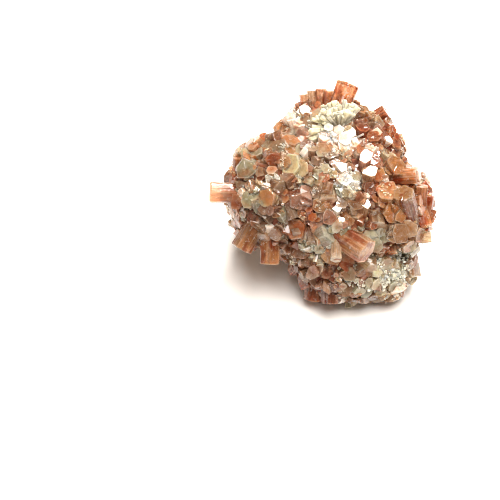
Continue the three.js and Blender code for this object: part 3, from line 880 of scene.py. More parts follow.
@dataclass(frozen=True)
class PrismForm:
    """How finely prisms are cut, and how rough their sides and ends are, as shares of a prism's width.

    steps is the number of facets on each of the six sides. Each ring is one level of the profile: how far up
    the crystal it lies from root, 0, to end, 1, how wide it is, and how far it is sunk below the end. cuts
    are the depths that the lengthwise facets are let in by, in ridges, and cut_shares how often each depth
    comes.
    """

    steps: int = 7
    rings: tuple[Vec, ...] = (
        (0.0, 0.80, 0.0), (1.0, 0.95, 0.85), (1.0, 0.98, 0.42), (1.0, 1.0, 0.07), (1.0, 0.975, 0.025),
        (1.0, 0.93, 0.0), (1.0, 0.80, 0.0), (1.0, 0.76, 0.025), (1.0, 0.40, 0.025),
    )
    first_end_ring: int = 5
    corner_play: float = 0.15
    corner_swing: float = 0.14
    stretch: float = 0.12
    corner_round: float = 0.035
    waist: float = 0.03
    ridge: float = 0.05
    cuts: tuple[float, ...] = (0.0, 0.25, 0.6, 1.0)
    cut_shares: tuple[float, ...] = (0.35, 0.25, 0.25, 0.15)
    corner_cut: float = 0.35
    least_cut: float = 0.25
    sector: float = 0.02
    unevenness: float = 0.2
    terrace: float = 0.5
    chip: float = 0.25
    chip_width: float = 0.45
    chipped_share: float = 0.5
    # fade, heart and deepness set the painted shade: how far down the sides it runs, how dark the end's heart
    # gets, and how dark the sides get.
    fade: float = 0.55
    heart: float = 1.1
    deepness: float = 1.0

    @property
    def profile(self) -> tuple[Array, ...]:
        """The rings' levels, radii and sinks, and a mask of those that belong to the end."""
        return *np.array(self.rings).T, np.arange(len(self.rings)) >= self.first_end_ring

    def _outline(self, count: int, random: Chance) -> Array:
        """Work out each prism's six-sided outline.

        A corner lies at a sixth of a turn times its number, on a circle whose radius wavers by corner_play
        and is blunted by corner_round. A point between two corners lies on the straight line that joins them.

        Args:
            count: How many prisms.
            random: The source of chance.

        Returns:
            Points of radius about one, as an array of prism, point and two coordinates.
        """
        waver = 1 + self.corner_play * (2 * random.random((count, 6)) - 1)
        angle = np.arange(6) * math.pi / 3 + self.corner_swing * (2 * random.random((count, 6)) - 1)
        narrow = 1 - self.stretch * random.random((count, 1))
        corner = np.stack([narrow * waver * np.sin(angle), waver * np.cos(angle)], axis=-1)[:, :, None]
        sides = mingled(corner, np.roll(corner, -1, axis=1), (np.arange(self.steps) / self.steps)[:, None])
        sides[:, :, 0] *= 1 - self.corner_round
        return sides.reshape(count, 6 * self.steps, 2)

    def _ridges(self, count: int, random: Chance) -> Array:
        """Work out how far each lengthwise facet is let into its side, with the corners proud.

        Args:
            count: How many prisms.
            random: The source of chance.

        Returns:
            A share of the radius for each prism and point of its outline.
        """
        cut = random.choice(self.cuts, (count, 6, self.steps), p=self.cut_shares)
        cut[:, :, 0] *= self.corner_cut
        strength = random.random((count, 1, 1)) ** 1.3
        return (self.ridge * cut * (self.least_cut + strength)).reshape(count, -1)

    def _drops(self, count: int, random: Chance) -> Array:
        """Work out how far each sector of an end lies below the highest, with a chipped corner now and then.

        Args:
            count: How many prisms.
            random: The source of chance.

        Returns:
            A share of the width for each prism and point of its outline.
        """
        around = 6 * self.steps
        sector = self.sector * random.random((count, 6, 1)) ** 2
        fine = self.unevenness * self.sector * random.random((count, 6, self.steps))
        middle = random.integers(0, 6, (count, 1)) * self.steps
        gap = np.abs((np.arange(around) - middle + around // 2) % around - around // 2)
        chipped = random.random((count, 1)) < self.chipped_share
        size = self.chip * random.random((count, 1))
        near = np.clip(1 - gap / (self.chip_width * self.steps + 1), 0, 1)
        return (sector + fine).reshape(count, -1) + chipped * size * near

    @staticmethod
    def axes(direction: Array) -> tuple[Array, Array]:
        """Turn X and Z by the shortest turn that takes +Y to each crystal's direction.

        With v the cross product of +Y and the direction and c its Y share, a vector a becomes
        a + v × a + v × (v × a) / (1 + c).

        Args:
            direction: The crystals' directions.

        Returns:
            The two directions across each crystal.
        """
        lead = np.stack([direction[:, 2], np.zeros(len(direction)), -direction[:, 0]], axis=-1)
        fold = 1 / np.maximum(1 + direction[:, 1:2], 1e-6)
        turned = []
        for axis in ((1.0, 0, 0), (0, 0, 1.0)):
            once = np.cross(lead, axis)
            turned.append(axis + once + np.cross(lead, once) * fold)
        return tuple(turned)

    def build(self, crystals: Crystals, colouring: Colouring, random: Chance) -> Surface:
        """Carry each prism's outline up its axis as a closed surface.

        A point is the crystal's place, plus the outline's two coordinates times the ring's radius along the
        two directions across the axis, plus its height along the axis. The height runs from the root's depth
        below the body's surface to the crystal's stand above it, less what the ring and the sector are sunk.

        Args:
            crystals: Where the prisms stand and how large they are.
            colouring: What gives the colour of the ground round each prism.
            random: The source of chance.

        Returns:
            The surface of all the prisms, a closed shell each.
        """
        count, around, levels = len(crystals), 6 * self.steps, len(self.rings)
        level, radius, sunk, is_end = (row[:, None] for row in self.profile)
        outline, ridges, drops = (make(count, random) for make in (self._outline, self._ridges, self._drops))
        swing = 1 + self.waist * (2 * random.random((count, levels, 1)) - 1) * ~is_end
        scale = radius * swing * (1 - ridges[:, None])
        x, y, spin = outline[..., 0], outline[..., 1], crystals.turn[:, None]
        turned = np.stack([x * np.cos(spin) + y * np.sin(spin), y * np.cos(spin) - x * np.sin(spin)], axis=-1)
        flat = turned[:, None] * scale[..., None] * crystals.wide[:, None, None, None] / 2
        terrace = (2 * random.random((count, 1, 1)) - 1) * self.terrace
        sink = sunk * (1 - is_end + is_end * terrace * 2) + drops[:, None] * (level == 1)
        wide, stand, depth = (row[:, None, None] for row in (crystals.wide, crystals.stand, crystals.depth))
        height = level * (stand + depth) - depth - sink * wide
        axes = (crystals.point, crystals.direction, *self.axes(crystals.direction))
        place, direction, across, along = (row[:, None, None] for row in axes)
        rings = place + flat[..., :1] * across + flat[..., 1:] * along + height[..., None] * direction
        root = crystals.point - crystals.direction * crystals.depth[:, None]
        tip = rings[:, -1].mean(1)
        points = np.concatenate([rings.reshape(count, -1, 3), root[:, None], tip[:, None]], axis=1)
        tint = Shading().tints(self, crystals, colouring, random)
        end = np.repeat(np.concatenate([self.profile[3], [False, True]]), [around] * levels + [1, 1])
        grain = self._grain(flat, height, crystals, random)
        step = (np.arange(count) * (levels * around + 2))[:, None, None]
        quads, triangles = (faces + step for faces in shell_faces(around, levels))
        return Surface(points.reshape(-1, 3), quads.reshape(-1, 4), triangles.reshape(-1, 3), tint, grain,
                       np.tile(end, count))

    @staticmethod
    def _grain(flat: Array, height: Array, crystals: Crystals, random: Chance) -> Array:
        """Give each point its place in its own crystal, so that patterns run along the prism.

        Args:
            flat: The two coordinates across the axis.
            height: The height along the axis.
            crystals: The prisms.
            random: The source of chance.

        Returns:
            Three coordinates in millimetres, moved by a chance step for each crystal.
        """
        count, far = len(crystals), 50
        height = np.broadcast_to(height[..., None], flat.shape[:-1] + (1,))
        poles = np.zeros((count, 2, 3))
        poles[:, :, 2] = np.stack([-crystals.depth, crystals.stand], axis=-1)
        local = np.concatenate([np.concatenate([flat, height], axis=-1).reshape(count, -1, 3), poles], axis=1)
        return (local + far * random.random((count, 1, 3))).reshape(-1, 3)


@dataclass(frozen=True)
class Shading:
    """How a crystal's colours stray from its tone's: as a whole, along its sides, and at its edges, with
    painted shade and painted highlights.

    own is the tone's own share, against the ground's. edge is how strongly the last ring of the sides and the
    first one of the end take the rim's colour, a painted highlight, and least_bright the share of that in the
    dullest crystals. corner is that painted highlight on the sides' corners, and pole how far the end's middle
    goes towards the deep colour, as painted shade.
    """

    own: float = 0.68
    lightness: float = 0.16
    warmth: float = 0.06
    warm: Vec = (1.0, 0.0, -1.2)
    clear_radius: float = 0.93
    streak: float = 0.4
    edge: Pair = (0.8, 0.6)
    corner: float = 0.3
    least_bright: float = 0.35
    pole: float = 0.8

    def tints(self, form: PrismForm, crystals: Crystals, colouring: Colouring, random: Chance) -> Array:
        """Colour each point.

        A crystal's colours lie between those of its tone and those of the ground round it. The sides run from
        the body's colour at the end to the deep colour a fade's share of the width below, painted shade that
        darkens them towards the root, with lengthwise streaks; corners and the end's edge take the rim's colour
        as a painted highlight, and the end's heart goes towards the deep colour as painted shade.

        Args:
            form: How the prisms are cut.
            crystals: The prisms.
            colouring: What gives the colour of the ground.
            random: The source of chance.

        Returns:
            Linear colours, in the order of the surface's points.
        """
        count, around, first = len(crystals), 6 * form.steps, form.first_end_ring
        level, radius, sunk, is_end = form.profile
        side = ~is_end[:, None, None]
        body, deep, rim = (
            mingled(colouring.ground(crystals.point, part), tone_table(part)[crystals.tone], self.own)
            for part in ("body", "deep", "rim")
        )
        light = np.exp(self.lightness * random.standard_normal((count, 1)))
        body = body * light * (1 + self.warmth * random.standard_normal((count, 1)) * np.array(self.warm))
        # Painted shade: the sides darken towards the deep colour below the end, and the end's heart darkens
        # too.
        below = form.deepness * np.where(level < 1, 1.0, sunk / form.fade).clip(0, 1)
        heart = form.heart * random.random((count, 1)) * (1 - radius / self.clear_radius).clip(0, 1)
        depth = np.where(is_end, heart, below)[:, :, None, None]
        whole = [row[:, None, None] for row in (body, deep, rim)]
        colour = mingled(whole[0], whole[1], depth)
        for towards, rareness in ((whole[2], 3), (whole[1], 4)):
            streak = self.streak * random.random((count, 1, around, 1)) ** rareness
            colour = mingled(colour, towards, streak * side)
        # Painted highlight: the sides' corners and the end's edge take the rim's colour.
        bright = np.zeros((len(level), around, 1))
        bright[:first, ::form.steps] = self.corner
        bright[first - 1:first + 1] += np.array(self.edge)[:, None, None]
        shine = between((self.least_bright, 1.0), random.random((count, 1, 1, 1)))
        colour = mingled(colour, whole[2], bright.clip(0, 1) * shine)
        # Painted shade at the end's middle point, as in its heart; the root's point takes the deep colour.
        middle = (self.pole * form.heart * random.random((count, 1))).clip(0, 1)
        poles = np.stack([deep, mingled(body, deep, middle)], axis=1)
        return np.concatenate([colour.reshape(count, -1, 3), poles], axis=1).reshape(-1, 3).clip(0, 1)


@dataclass(frozen=True)
class Twinning:
    """How crystals grow in twos and threes: the share that has a partner, and how the partner differs.

    aside and step, sideways and up or down, are shares of the crystal's width; wide is the partner's own
    share.
    """

    share: float = 0.6
    aside: Pair = (0.22, 0.42)
    lean: float = 0.14
    wide: Pair = (0.55, 0.9)
    step: Pair = (-0.28, 0.10)

    def partners(self, crystals: Crystals, random: Chance) -> Crystals:
        """Grow a partner beside some crystals, partly sunk into them, with its end a step lower or higher.

        Args:
            crystals: The crystals.
            random: The source of chance.

        Returns:
            The partners.
        """
        chosen = crystals.kept(random.random(len(crystals)) < self.share)
        count = len(chosen)
        side = unit(np.cross(chosen.direction, random.standard_normal((count, 3))))
        spans = (self.aside, self.wide, self.step)
        aside, wide, step = (between(span, random.random(count)) for span in spans)
        return Crystals(
            chosen.point + side * (aside * chosen.wide)[:, None],
            unit(chosen.direction + self.lean * random.standard_normal((count, 3))),
            chosen.wide * wide, chosen.stand + step * chosen.wide, chosen.turn, chosen.tone, chosen.depth,
        )


@dataclass(frozen=True)
class Filling:
    """Crystals of one size that fill the ground between larger ones.

    share and clearance are how much of a larger crystal's radius keeps out these crystals' places and ends.
    smallness is the power that makes most of them narrow. In a flush patch, a place and its reach, they grow
    nearly parallel, with their ends in one plane.
    """

    candidates: int
    wide: Pair
    stand: Pair
    tilt: float
    share: float
    clearance: float
    depth: float
    seed: int
    bundle_lean: float = 0.5
    bundle: tuple[Waves, ...] = tuple(Waves((6.0, 12.0), 30, seed) for seed in (90, 91, 92))
    waver: float = 0.8
    smallness: float = 1.4
    room: float = 0.26
    lowest: float = 0.5
    flush: tuple[tuple[Pair, float], ...] = (
        ((1.0, 13.4), 3.4), ((4.6, 11.0), 2.6), ((3.0, 5.0), 2.6), ((9.0, 6.4), 3.0), ((-5.4, 18.0), 2.0),
        ((1.2, -2.0), 1.6), ((-7.0, -0.6), 1.8), ((6.4, -1.6), 2.2),
    )
    flush_stray: float = 0.2
    flush_pull: float = 1.6

    def _leans(self, body: Body, point: Array, normal: Array, random: Chance) -> Array:
        """Turn the crystals from the normal, neighbours together by waves and each a little by chance.

        Args:
            body: The body they stand on.
            point: Where they stand.
            normal: The body's normals there.
            random: The source of chance.

        Returns:
            Unit vectors.
        """
        common = np.stack([waves.at(point) for waves in self.bundle], axis=-1)
        stray = 2 * self.tilt * (random.random((len(point), 3)) - 0.5)
        middles, _ = body.on_display([place for place, _ in self.flush])
        distance = np.linalg.norm(point[:, None] - middles, axis=-1)
        share = np.exp(-(distance / [reach for _, reach in self.flush]) ** 2).max(1)[:, None]
        loose = unit(normal + self.bundle_lean * common + stray)
        flat = unit(body.face.turned(LEVEL) + self.flush_stray * stray)
        return unit(mingled(loose, self.flush_pull * flat, share))

    def grow(self, colouring: Colouring, standing: Crystals) -> Crystals:
        """Spread crystals over the whole body and keep those with room.

        Args:
            colouring: What gives each its tone.
            standing: The larger crystals that stand already.

        Returns:
            The new crystals.
        """
        random = np.random.default_rng(self.seed)
        count = self.candidates
        point, normal = colouring.body.outward_from_middle(strewn(count, self.waver, random))
        wide = between(self.wide, random.random(count) ** self.smallness)
        stand = between(self.stand, random.random(count))
        lean = self._leans(colouring.body, point, normal, random)
        turn = random.random(count) * math.pi
        tone = colouring.tones(point, random)
        grown = Crystals(point, lean, wide, stand, turn, tone, np.full(count, self.depth))
        held = standing.hold(point, self.share) | standing.hold(grown.ends, self.clearance)
        grown = grown.kept(~held & (point[:, 2] > self.lowest))
        return grown.kept(roomy(grown.point, grown.wide, self.room))


@dataclass(frozen=True)
class Fan:
    """A spray of thin spokes from one place of the display face, sunk below its surface.

    flat is how thick the spray is against its width, and uneven how much shorter the shortest spokes are.
    """

    place: Pair
    reach: float
    wide: float
    spokes: int
    lean: float
    tone: Tone
    sunk: float = 0.4
    aim: Vec | None = None
    flat: float = 1.0
    uneven: float = 0.5


FANS = (
    Fan((2.3, 14.9), 6.2, 1.35, 60, 1.5, STRAW, sunk=0.0, aim=(-0.12, 1, 0.1), flat=0.1),
    Fan((2.3, 14.9), 5.6, 1.3, 60, 1.4, STRAW, sunk=0.0, aim=(-0.12, 1, 0.45), flat=0.35, uneven=0.7),
    Fan((1.4, 14.9), 6.6, 1.3, 30, 1.5, STRAW, sunk=0.0, aim=(-0.85, 0.5, 0.3), flat=0.3, uneven=0.7),
    Fan((3.1, 3.1), 2.0, 0.55, 46, 1.2, CHALK),
    Fan((-16.8, 0.6), 1.9, 0.6, 34, 1.2, SAGE),
    Fan((-7.6, 18.0), 1.9, 0.6, 30, 1.2, CREAM),
    Fan((10.8, -14.6), 1.9, 0.6, 38, 1.2, SAGE),
    Fan((15.2, -17.6), 2.2, 0.75, 34, 1.2, SAGE),
    Fan((13.4, -16.4), 2.6, 0.8, 34, 1.3, SAGE),
    Fan((11.6, -18.8), 2.4, 0.8, 34, 1.3, CREAM),
    Fan((16.8, -14.8), 2.4, 0.7, 30, 1.3, SAGE),
    Fan((7.0, -18.6), 1.7, 0.55, 30, 1.2, CREAM),
    Fan((0.8, -10.2), 1.6, 0.55, 28, 1.2, SAGE),
    Fan((-5.6, -9.0), 1.5, 0.5, 26, 1.2, SAGE),
    Fan((-7.0, 4.0), 1.7, 0.55, 28, 1.2, CREAM),
    Fan((2.2, 11.8), 1.6, 0.5, 26, 1.2, CHALK),
    Fan((13.6, 7.0), 1.7, 0.55, 26, 1.2, PINK),
)


@dataclass(frozen=True)
class Sprays:
    """All the fans: those listed for the display face, and more of one kind spread over the rest.

    The hidden kind takes its reach and its tone by chance. Its places are drawn from some candidates for each
    fan, those that nothing covers, that lie off the display face, and not below the lowest height.
    """

    elsewhere: int = 30
    hidden: Fan = Fan((0, 0), 1.0, 0.6, 26, 1.2, CREAM)
    hidden_reach: Pair = (1.3, 2.3)
    candidates: int = 8
    off_face: float = 0.35
    lowest: float = 3.0
    seed: int = 41
    beside: Vec = (0.0, 0.6, -0.8)
    waver: float = 0.16
    longest: float = 1.05
    widths: Pair = (0.7, 1.3)
    root: float = 0.2

    def _spray(self, point: Array, normal: Array, fan: Fan, random: Chance) -> Crystals:
        """Spread a fan's spokes round the normal, each leaning by the square root of its number.

        Args:
            point: Where the spokes meet.
            normal: The body's normal there.
            fan: The fan's sizes and tone.
            random: The source of chance.

        Returns:
            The spokes as thin crystals.
        """
        count = fan.spokes
        index = np.arange(count)[:, None]
        slant = fan.lean * np.sqrt((index + 0.5) / count)
        along = unit(np.cross(normal, self.beside))
        across = fan.flat * np.cross(normal, along)
        around = index * GOLDEN_ANGLE
        direction = unit(normal + slant * (np.cos(around) * across + np.sin(around) * along)
                         + self.waver * (random.random((count, 3)) - 0.5))
        length = fan.reach * (self.longest - fan.uneven * random.random(count) ** 1.2)
        wide = fan.wide * between(self.widths, random.random(count))
        base = np.broadcast_to(point - fan.sunk * normal, direction.shape)
        return Crystals(base, direction, wide, length, random.random(count) * math.pi,
                        np.full(count, fan.tone.place), np.full(count, self.root))

    def grow(self, colouring: Colouring, standing: Crystals) -> Crystals:
        """Place every fan.

        Args:
            colouring: What gives the unlisted fans their tone.
            standing: The larger crystals, between which the unlisted fans stand.

        Returns:
            All spokes.
        """
        random = np.random.default_rng(self.seed)
        body = colouring.body
        grown = []
        for point, normal, fan in zip(*body.on_display([fan.place for fan in FANS]), FANS):
            axis = unit(body.face.turned(fan.aim)) if fan.aim else normal
            grown.append(self._spray(point, axis, fan, random))
        points, normals = body.outward_from_middle(strewn(self.candidates * self.elsewhere, 1.0, random))
        hidden = normals @ body.face.outward < self.off_face
        hidden &= ~standing.hold(points, 1.0) & (points[:, 2] > self.lowest)
        chosen = random.permutation(np.flatnonzero(hidden))[:self.elsewhere]
        for place, tone in zip(chosen, colouring.tones(points[chosen], random)):
            reach = between(self.hidden_reach, random.random())
            fan = replace(self.hidden, reach=reach, tone=list(Tone)[tone])
            grown.append(self._spray(points[place], normals[place], fan, random))
        return Crystals.joined(*grown)


@dataclass(frozen=True)
class Patch:
    """Where sugary crust lies on the display face: its middle, its reach, and its grains' number and tones.

    rise is how much higher than elsewhere its highest grains stand.
    """

    place: Pair
    reach: float
    grains: int
    tones: tuple[Tone, ...]
    rise: float = 0.0


PATCHES = (
    Patch((13.6, -17.2), 4.2, 340, (SAGE, SAGE, CHALK), rise=1.0),
    Patch((-16.8, -0.2), 2.6, 260, (SAGE, CREAM, TAUPE)),
    Patch((-7.0, 18.2), 1.8, 160, (CREAM, SAGE)),
    # The white grains of the crest and of the nest are partly the crystals' own white and partly painted
    # highlight, where they face the light.
    Patch((1.6, 13.0), 3.0, 420, (CHALK, CHALK, CREAM), rise=1.0),
    Patch((3.1, 3.2), 2.2, 260, (CHALK, CREAM), rise=0.9),
    Patch((-0.6, -10.4), 2.4, 200, (SAGE, CREAM)),
    Patch((-6.2, -10.6), 1.8, 120, (SAGE, CREAM)),
    Patch((-7.2, 4.2), 2.2, 160, (CREAM, SAGE)),
    Patch((4.6, -17.6), 2.2, 60, (CREAM, CHALK)),
)


@dataclass(frozen=True)
class Crust:
    """The sugary crust: grains in patches on the display face, and a thin layer of them everywhere."""

    everywhere: Patch = Patch((0, 0), 0.0, 900, ())
    closeness: float = 0.6
    wide: Pair = (0.3, 0.95)
    stand: Pair = (-0.3, 0.75)
    tilt: float = 0.8
    depth: float = 1.2
    lowest: float = 0.5
    seed: int = 53

    def grow(self, colouring: Colouring) -> Crystals:
        """Scatter the grains.

        A patch's grains lie round its middle by the bell curve, drawn onto the body along the line from the
        body's middle.

        Args:
            colouring: What gives the grains outside the patches their tone.

        Returns:
            The grains.
        """
        random = np.random.default_rng(self.seed)
        body = colouring.body
        middles, _ = body.on_display([patch.place for patch in PATCHES])
        counts = [patch.grains for patch in PATCHES]
        reach = np.repeat([patch.reach for patch in PATCHES], counts)[:, None]
        stray = self.closeness * reach * random.standard_normal((sum(counts), 3))
        patched = unit(np.repeat(middles, counts, axis=0) + stray - body.middle)
        outward = np.concatenate([patched, strewn(self.everywhere.grains, 1.0, random)])
        point, normal = body.outward_from_middle(outward)
        count = len(point)
        tones = [random.choice([tone.place for tone in patch.tones], patch.grains) for patch in PATCHES]
        tone = np.concatenate([*tones, colouring.tones(point[sum(counts):], random)])
        wide = between(self.wide, random.random(count) ** 2)
        layers = (*PATCHES, self.everywhere)
        rise = np.repeat([patch.rise for patch in layers], [patch.grains for patch in layers])
        stand = between((self.stand[0], self.stand[1] + rise), random.random(count))
        lean = unit(normal + 2 * self.tilt * (random.random((count, 3)) - 0.5))
        turn = random.random(count) * math.pi
        grains = Crystals(point, lean, wide, stand, turn, tone, np.full(count, self.depth))
        return grains.kept(point[:, 2] > self.lowest)


@dataclass(frozen=True)
class Frosting:
    """Fine grains grown on the ends of some crystals, round one side, and never on the glassy ones.

    side is how far round, in radians, the grains of one end spread, and away how far out, against its width.
    """

    share: float = 0.2
    grains: int = 12
    wide: Pair = (0.22, 0.6)
    stand: Pair = (0.02, 0.28)
    lean: float = 0.9
    side: float = 1.1
    away: float = 0.3
    depth: float = 0.9
    least_host: float = 2.4
    glassy: tuple[Tone, ...] = (RUST, UMBER)
    seed: int = 61

    def grow(self, crystals: Crystals) -> Crystals:
        """Scatter grains over the ends of crystals wide enough to carry them.

        A grain's distance from the axis is a chance number, to a power that draws it outward, times the
        reach.

        Args:
            crystals: The crystals.

        Returns:
            The grains.
        """
        random = np.random.default_rng(self.seed)
        carries = (random.random(len(crystals)) < self.share) & (crystals.wide > self.least_host)
        carries &= ~np.isin(crystals.tone, [tone.place for tone in self.glassy])
        host = crystals.kept(np.repeat(np.flatnonzero(carries), self.grains))
        count = len(host)
        middle = np.repeat(2 * math.pi * random.random(count // self.grains), self.grains)
        around = (middle + self.side * random.standard_normal(count))[:, None]
        away = (self.away * host.wide * random.random(count) ** 0.4)[:, None]
        across, along = PrismForm.axes(host.direction)
        point = host.ends + across * (away * np.cos(around)) + along * (away * np.sin(around))
        wide = between(self.wide, random.random(count) ** 2)
        stand = between(self.stand, random.random(count))
        lean = unit(host.direction + 2 * self.lean * (random.random((count, 3)) - 0.5))
        turn = random.random(count) * math.pi
        return Crystals(point, lean, wide, stand, turn, host.tone, np.full(count, self.depth))


@dataclass(frozen=True)
class Matrix:
    """The matrix that shows between the crystals, iron-stained and darkened as painted shade in the gaps."""

    colouring: Colouring
    depth: float = 0.4
    rough: float = 0.32
    around: int = 300
    levels: int = 170
    waves: Waves = Waves((1.0, 5.0), 60, 67)
    stains: Waves = Waves((1.5, 6.0), 60, 68)
    deepness: float = 0.6
    # The colour the matrix's tint is multiplied by: partly iron stain, partly painted shade in the gaps.
    stain_and_gap_shade: str = "#a07868"

    def build(self) -> Surface:
        """Wrap a surface round the body's middle, in rings from the top down.

        In each direction the surface lies where the outermost lump ends, less the depth, plus soft waves.

        Returns:
            The closed surface.
        """
        rise = math.pi * (np.arange(self.levels)[:, None] + 0.5) / self.levels
        turn = 2 * math.pi * np.arange(self.around) / self.around
        height = np.broadcast_to(np.cos(rise), (self.levels, self.around))
        outward = np.stack([np.sin(rise) * np.cos(turn), np.sin(rise) * np.sin(turn), height], axis=-1)
        outward = np.concatenate([outward.reshape(-1, 3), [[0, 0, 1.0], [0, 0, -1.0]]])
        surface, _ = self.colouring.body.outward_from_middle(outward)
        points = surface + outward * (self.rough * self.waves.at(surface) - self.depth)[:, None]
        points[:, 2] = np.maximum(points[:, 2], 0)
        share = self.deepness * (1 + np.tanh(self.stains.at(surface)))[:, None] / 2
        tint = mingled(*(self.colouring.ground(surface, part) for part in ("body", "deep")), share)
        # Partly iron stain, partly painted shade: the whole matrix is darkened so that the gaps between
        # crystals look shaded.
        tint = tint * linear(self.stain_and_gap_shade)
        quads, triangles = shell_faces(self.around, self.levels)
        quads, triangles = np.roll(quads[:, ::-1], 1, axis=1), triangles[:, ::-1]
        return Surface(points, quads, triangles, tint, points, np.zeros(len(points)))


@dataclass(frozen=True)
class Cloud:
    """A cloudy pattern: its features a unit of length, its finer layers, their strength, and its range.

    Where it is drawn out, by a factor for each coordinate, it follows each crystal's own grain in
    millimetres; else it runs through the whole object in metres. twist is how distorted it is.
    """

    scale: float
    detail: float
    rough: float
    span: Pair = (0.0, 1.0)
    twist: float = 0.0
    drawn_out: Vec | None = None


class NodeTree:
    """A material's nodes, with short ways to add and join them."""

    def __init__(self, name: str) -> None:
        """Start a material with no nodes.

        Args:
            name: The material's name.
        """
        self.material = bpy.data.materials.new(name)
        self.material.use_nodes = True
        self.tree = self.material.node_tree
        self.tree.nodes.clear()

    def add(self, kind: str, output: str | int, inputs: dict, **settings: str) -> Socket:
        """Add a node, choose its settings and feed its inputs.

        Args:
            kind: The node's type, after the word ShaderNode.
            output: Which of its outputs is wanted.
            inputs: A socket to join, or a value to set, for each input that isn't left as it is.
            settings: The node's settings.

        Returns:
            The output's socket.
        """
        node = self.tree.nodes.new(f"ShaderNode{kind}")
        for name, value in settings.items():
            setattr(node, name, value)
        for name, value in inputs.items():
            if isinstance(value, Socket):
                self.tree.links.new(value, node.inputs[name])
            else:
                node.inputs[name].default_value = value
        return node.outputs[output]

    def attribute(self, name: str, output: str) -> Socket:
        """Read a point attribute of the mesh as a Color, a Vector or a Fac."""
        return self.add("Attribute", output, {}, attribute_name=name)

    def cloud(self, cloud: Cloud) -> Socket:
        """Add a cloudy pattern.

        Args:
            cloud: Its sizes.

        Returns:
            Its value, about 0.5 on average.
        """
        vector = self.add("TexCoord", "Object", {}) if cloud.drawn_out is None else self.add(
            "VectorMath", 0, {0: self.attribute("grain", "Vector"), 1: cloud.drawn_out}, operation="MULTIPLY")
        return self.add("TexNoise", "Fac", {
            "Vector": vector, "Scale": cloud.scale, "Detail": cloud.detail, "Roughness": cloud.rough,
            "Distortion": cloud.twist,
        })

    def fitted(self, value: Socket, span: Pair, result: Pair) -> Socket:
        """Map one range of values onto another, held to the ends."""
        names = ("Value", "From Min", "From Max", "To Min", "To Max")
        return self.add("MapRange", "Result", dict(zip(names, (value, *span, *result))))

    def mixed(self, share: Socket | float, first: Socket, second: Socket | tuple, way: str) -> Socket:
        """Mix a share of a second colour into a first one, or multiply the first one by it."""
        return self.add("Mix", 2, {"Factor": share, 6: first, 7: second}, data_type="RGBA", blend_type=way)

    def laid(self, colour: Socket, cloud: Cloud, most: float, code: str, way: str = "MULTIPLY") -> Socket:
        """Lay a display colour over another one, by up to a share where a cloudy pattern is high."""
        share = self.fitted(self.cloud(cloud), cloud.span, (0.0, most))
        return self.mixed(share, colour, colour4(code), way)

    def sum(self, way: str, first: Socket | float, second: Socket | float) -> Socket:
        """Do a sum with two values."""
        return self.add("Math", 0, {0: first, 1: second}, operation=way)

    def bump(self, height: Socket, distance: float) -> Socket:
        """Turn a height into a bumpy normal, where one unit of height is a distance in metres."""
        return self.add("Bump", "Normal", {"Height": height, "Strength": 1.0, "Distance": distance})

    def surface(self, inputs: dict) -> bpy.types.Material:
        """Close the material with a surface shader.

        Args:
            inputs: What the shader takes.

        Returns:
            The material.
        """
        output = self.tree.nodes.new("ShaderNodeOutputMaterial")
        self.tree.links.new(self.add("BsdfPrincipled", "BSDF", inputs), output.inputs["Surface"])
        return self.material


STREAKS = Cloud(1.0, 4.0, 0.65, (0.3, 0.7), drawn_out=(2.6, 2.6, 0.22))
VEIL = Cloud(1.0, 5.0, 0.62, (0.45, 0.72), twist=0.6, drawn_out=(0.8, 0.8, 0.5))
MOTTLE = Cloud(1100.0, 4.0, 0.6, (0.3, 0.7))
SUGAR = Cloud(1500.0, 3.0, 0.6, (0.58, 0.68))
BLOOM = Cloud(240.0, 3.0, 0.55, (0.48, 0.66))
INCLUSIONS = Cloud(1.0, 2.0, 0.5, (0.5, 0.62), twist=0.4, drawn_out=(0.42, 0.42, 0.2))
STAIN = Cloud(620.0, 5.0, 0.7, (0.56, 0.70))
STRIPES = Cloud(1.0, 3.0, 0.6, (0.3, 0.7), drawn_out=(7.0, 7.0, 0.8))
PITS = Cloud(2600.0, 3.0, 0.6)
EARTH = Cloud(500.0, 5.0, 0.65, (0.35, 0.65))
GRIT = Cloud(1500.0, 5.0, 0.7)


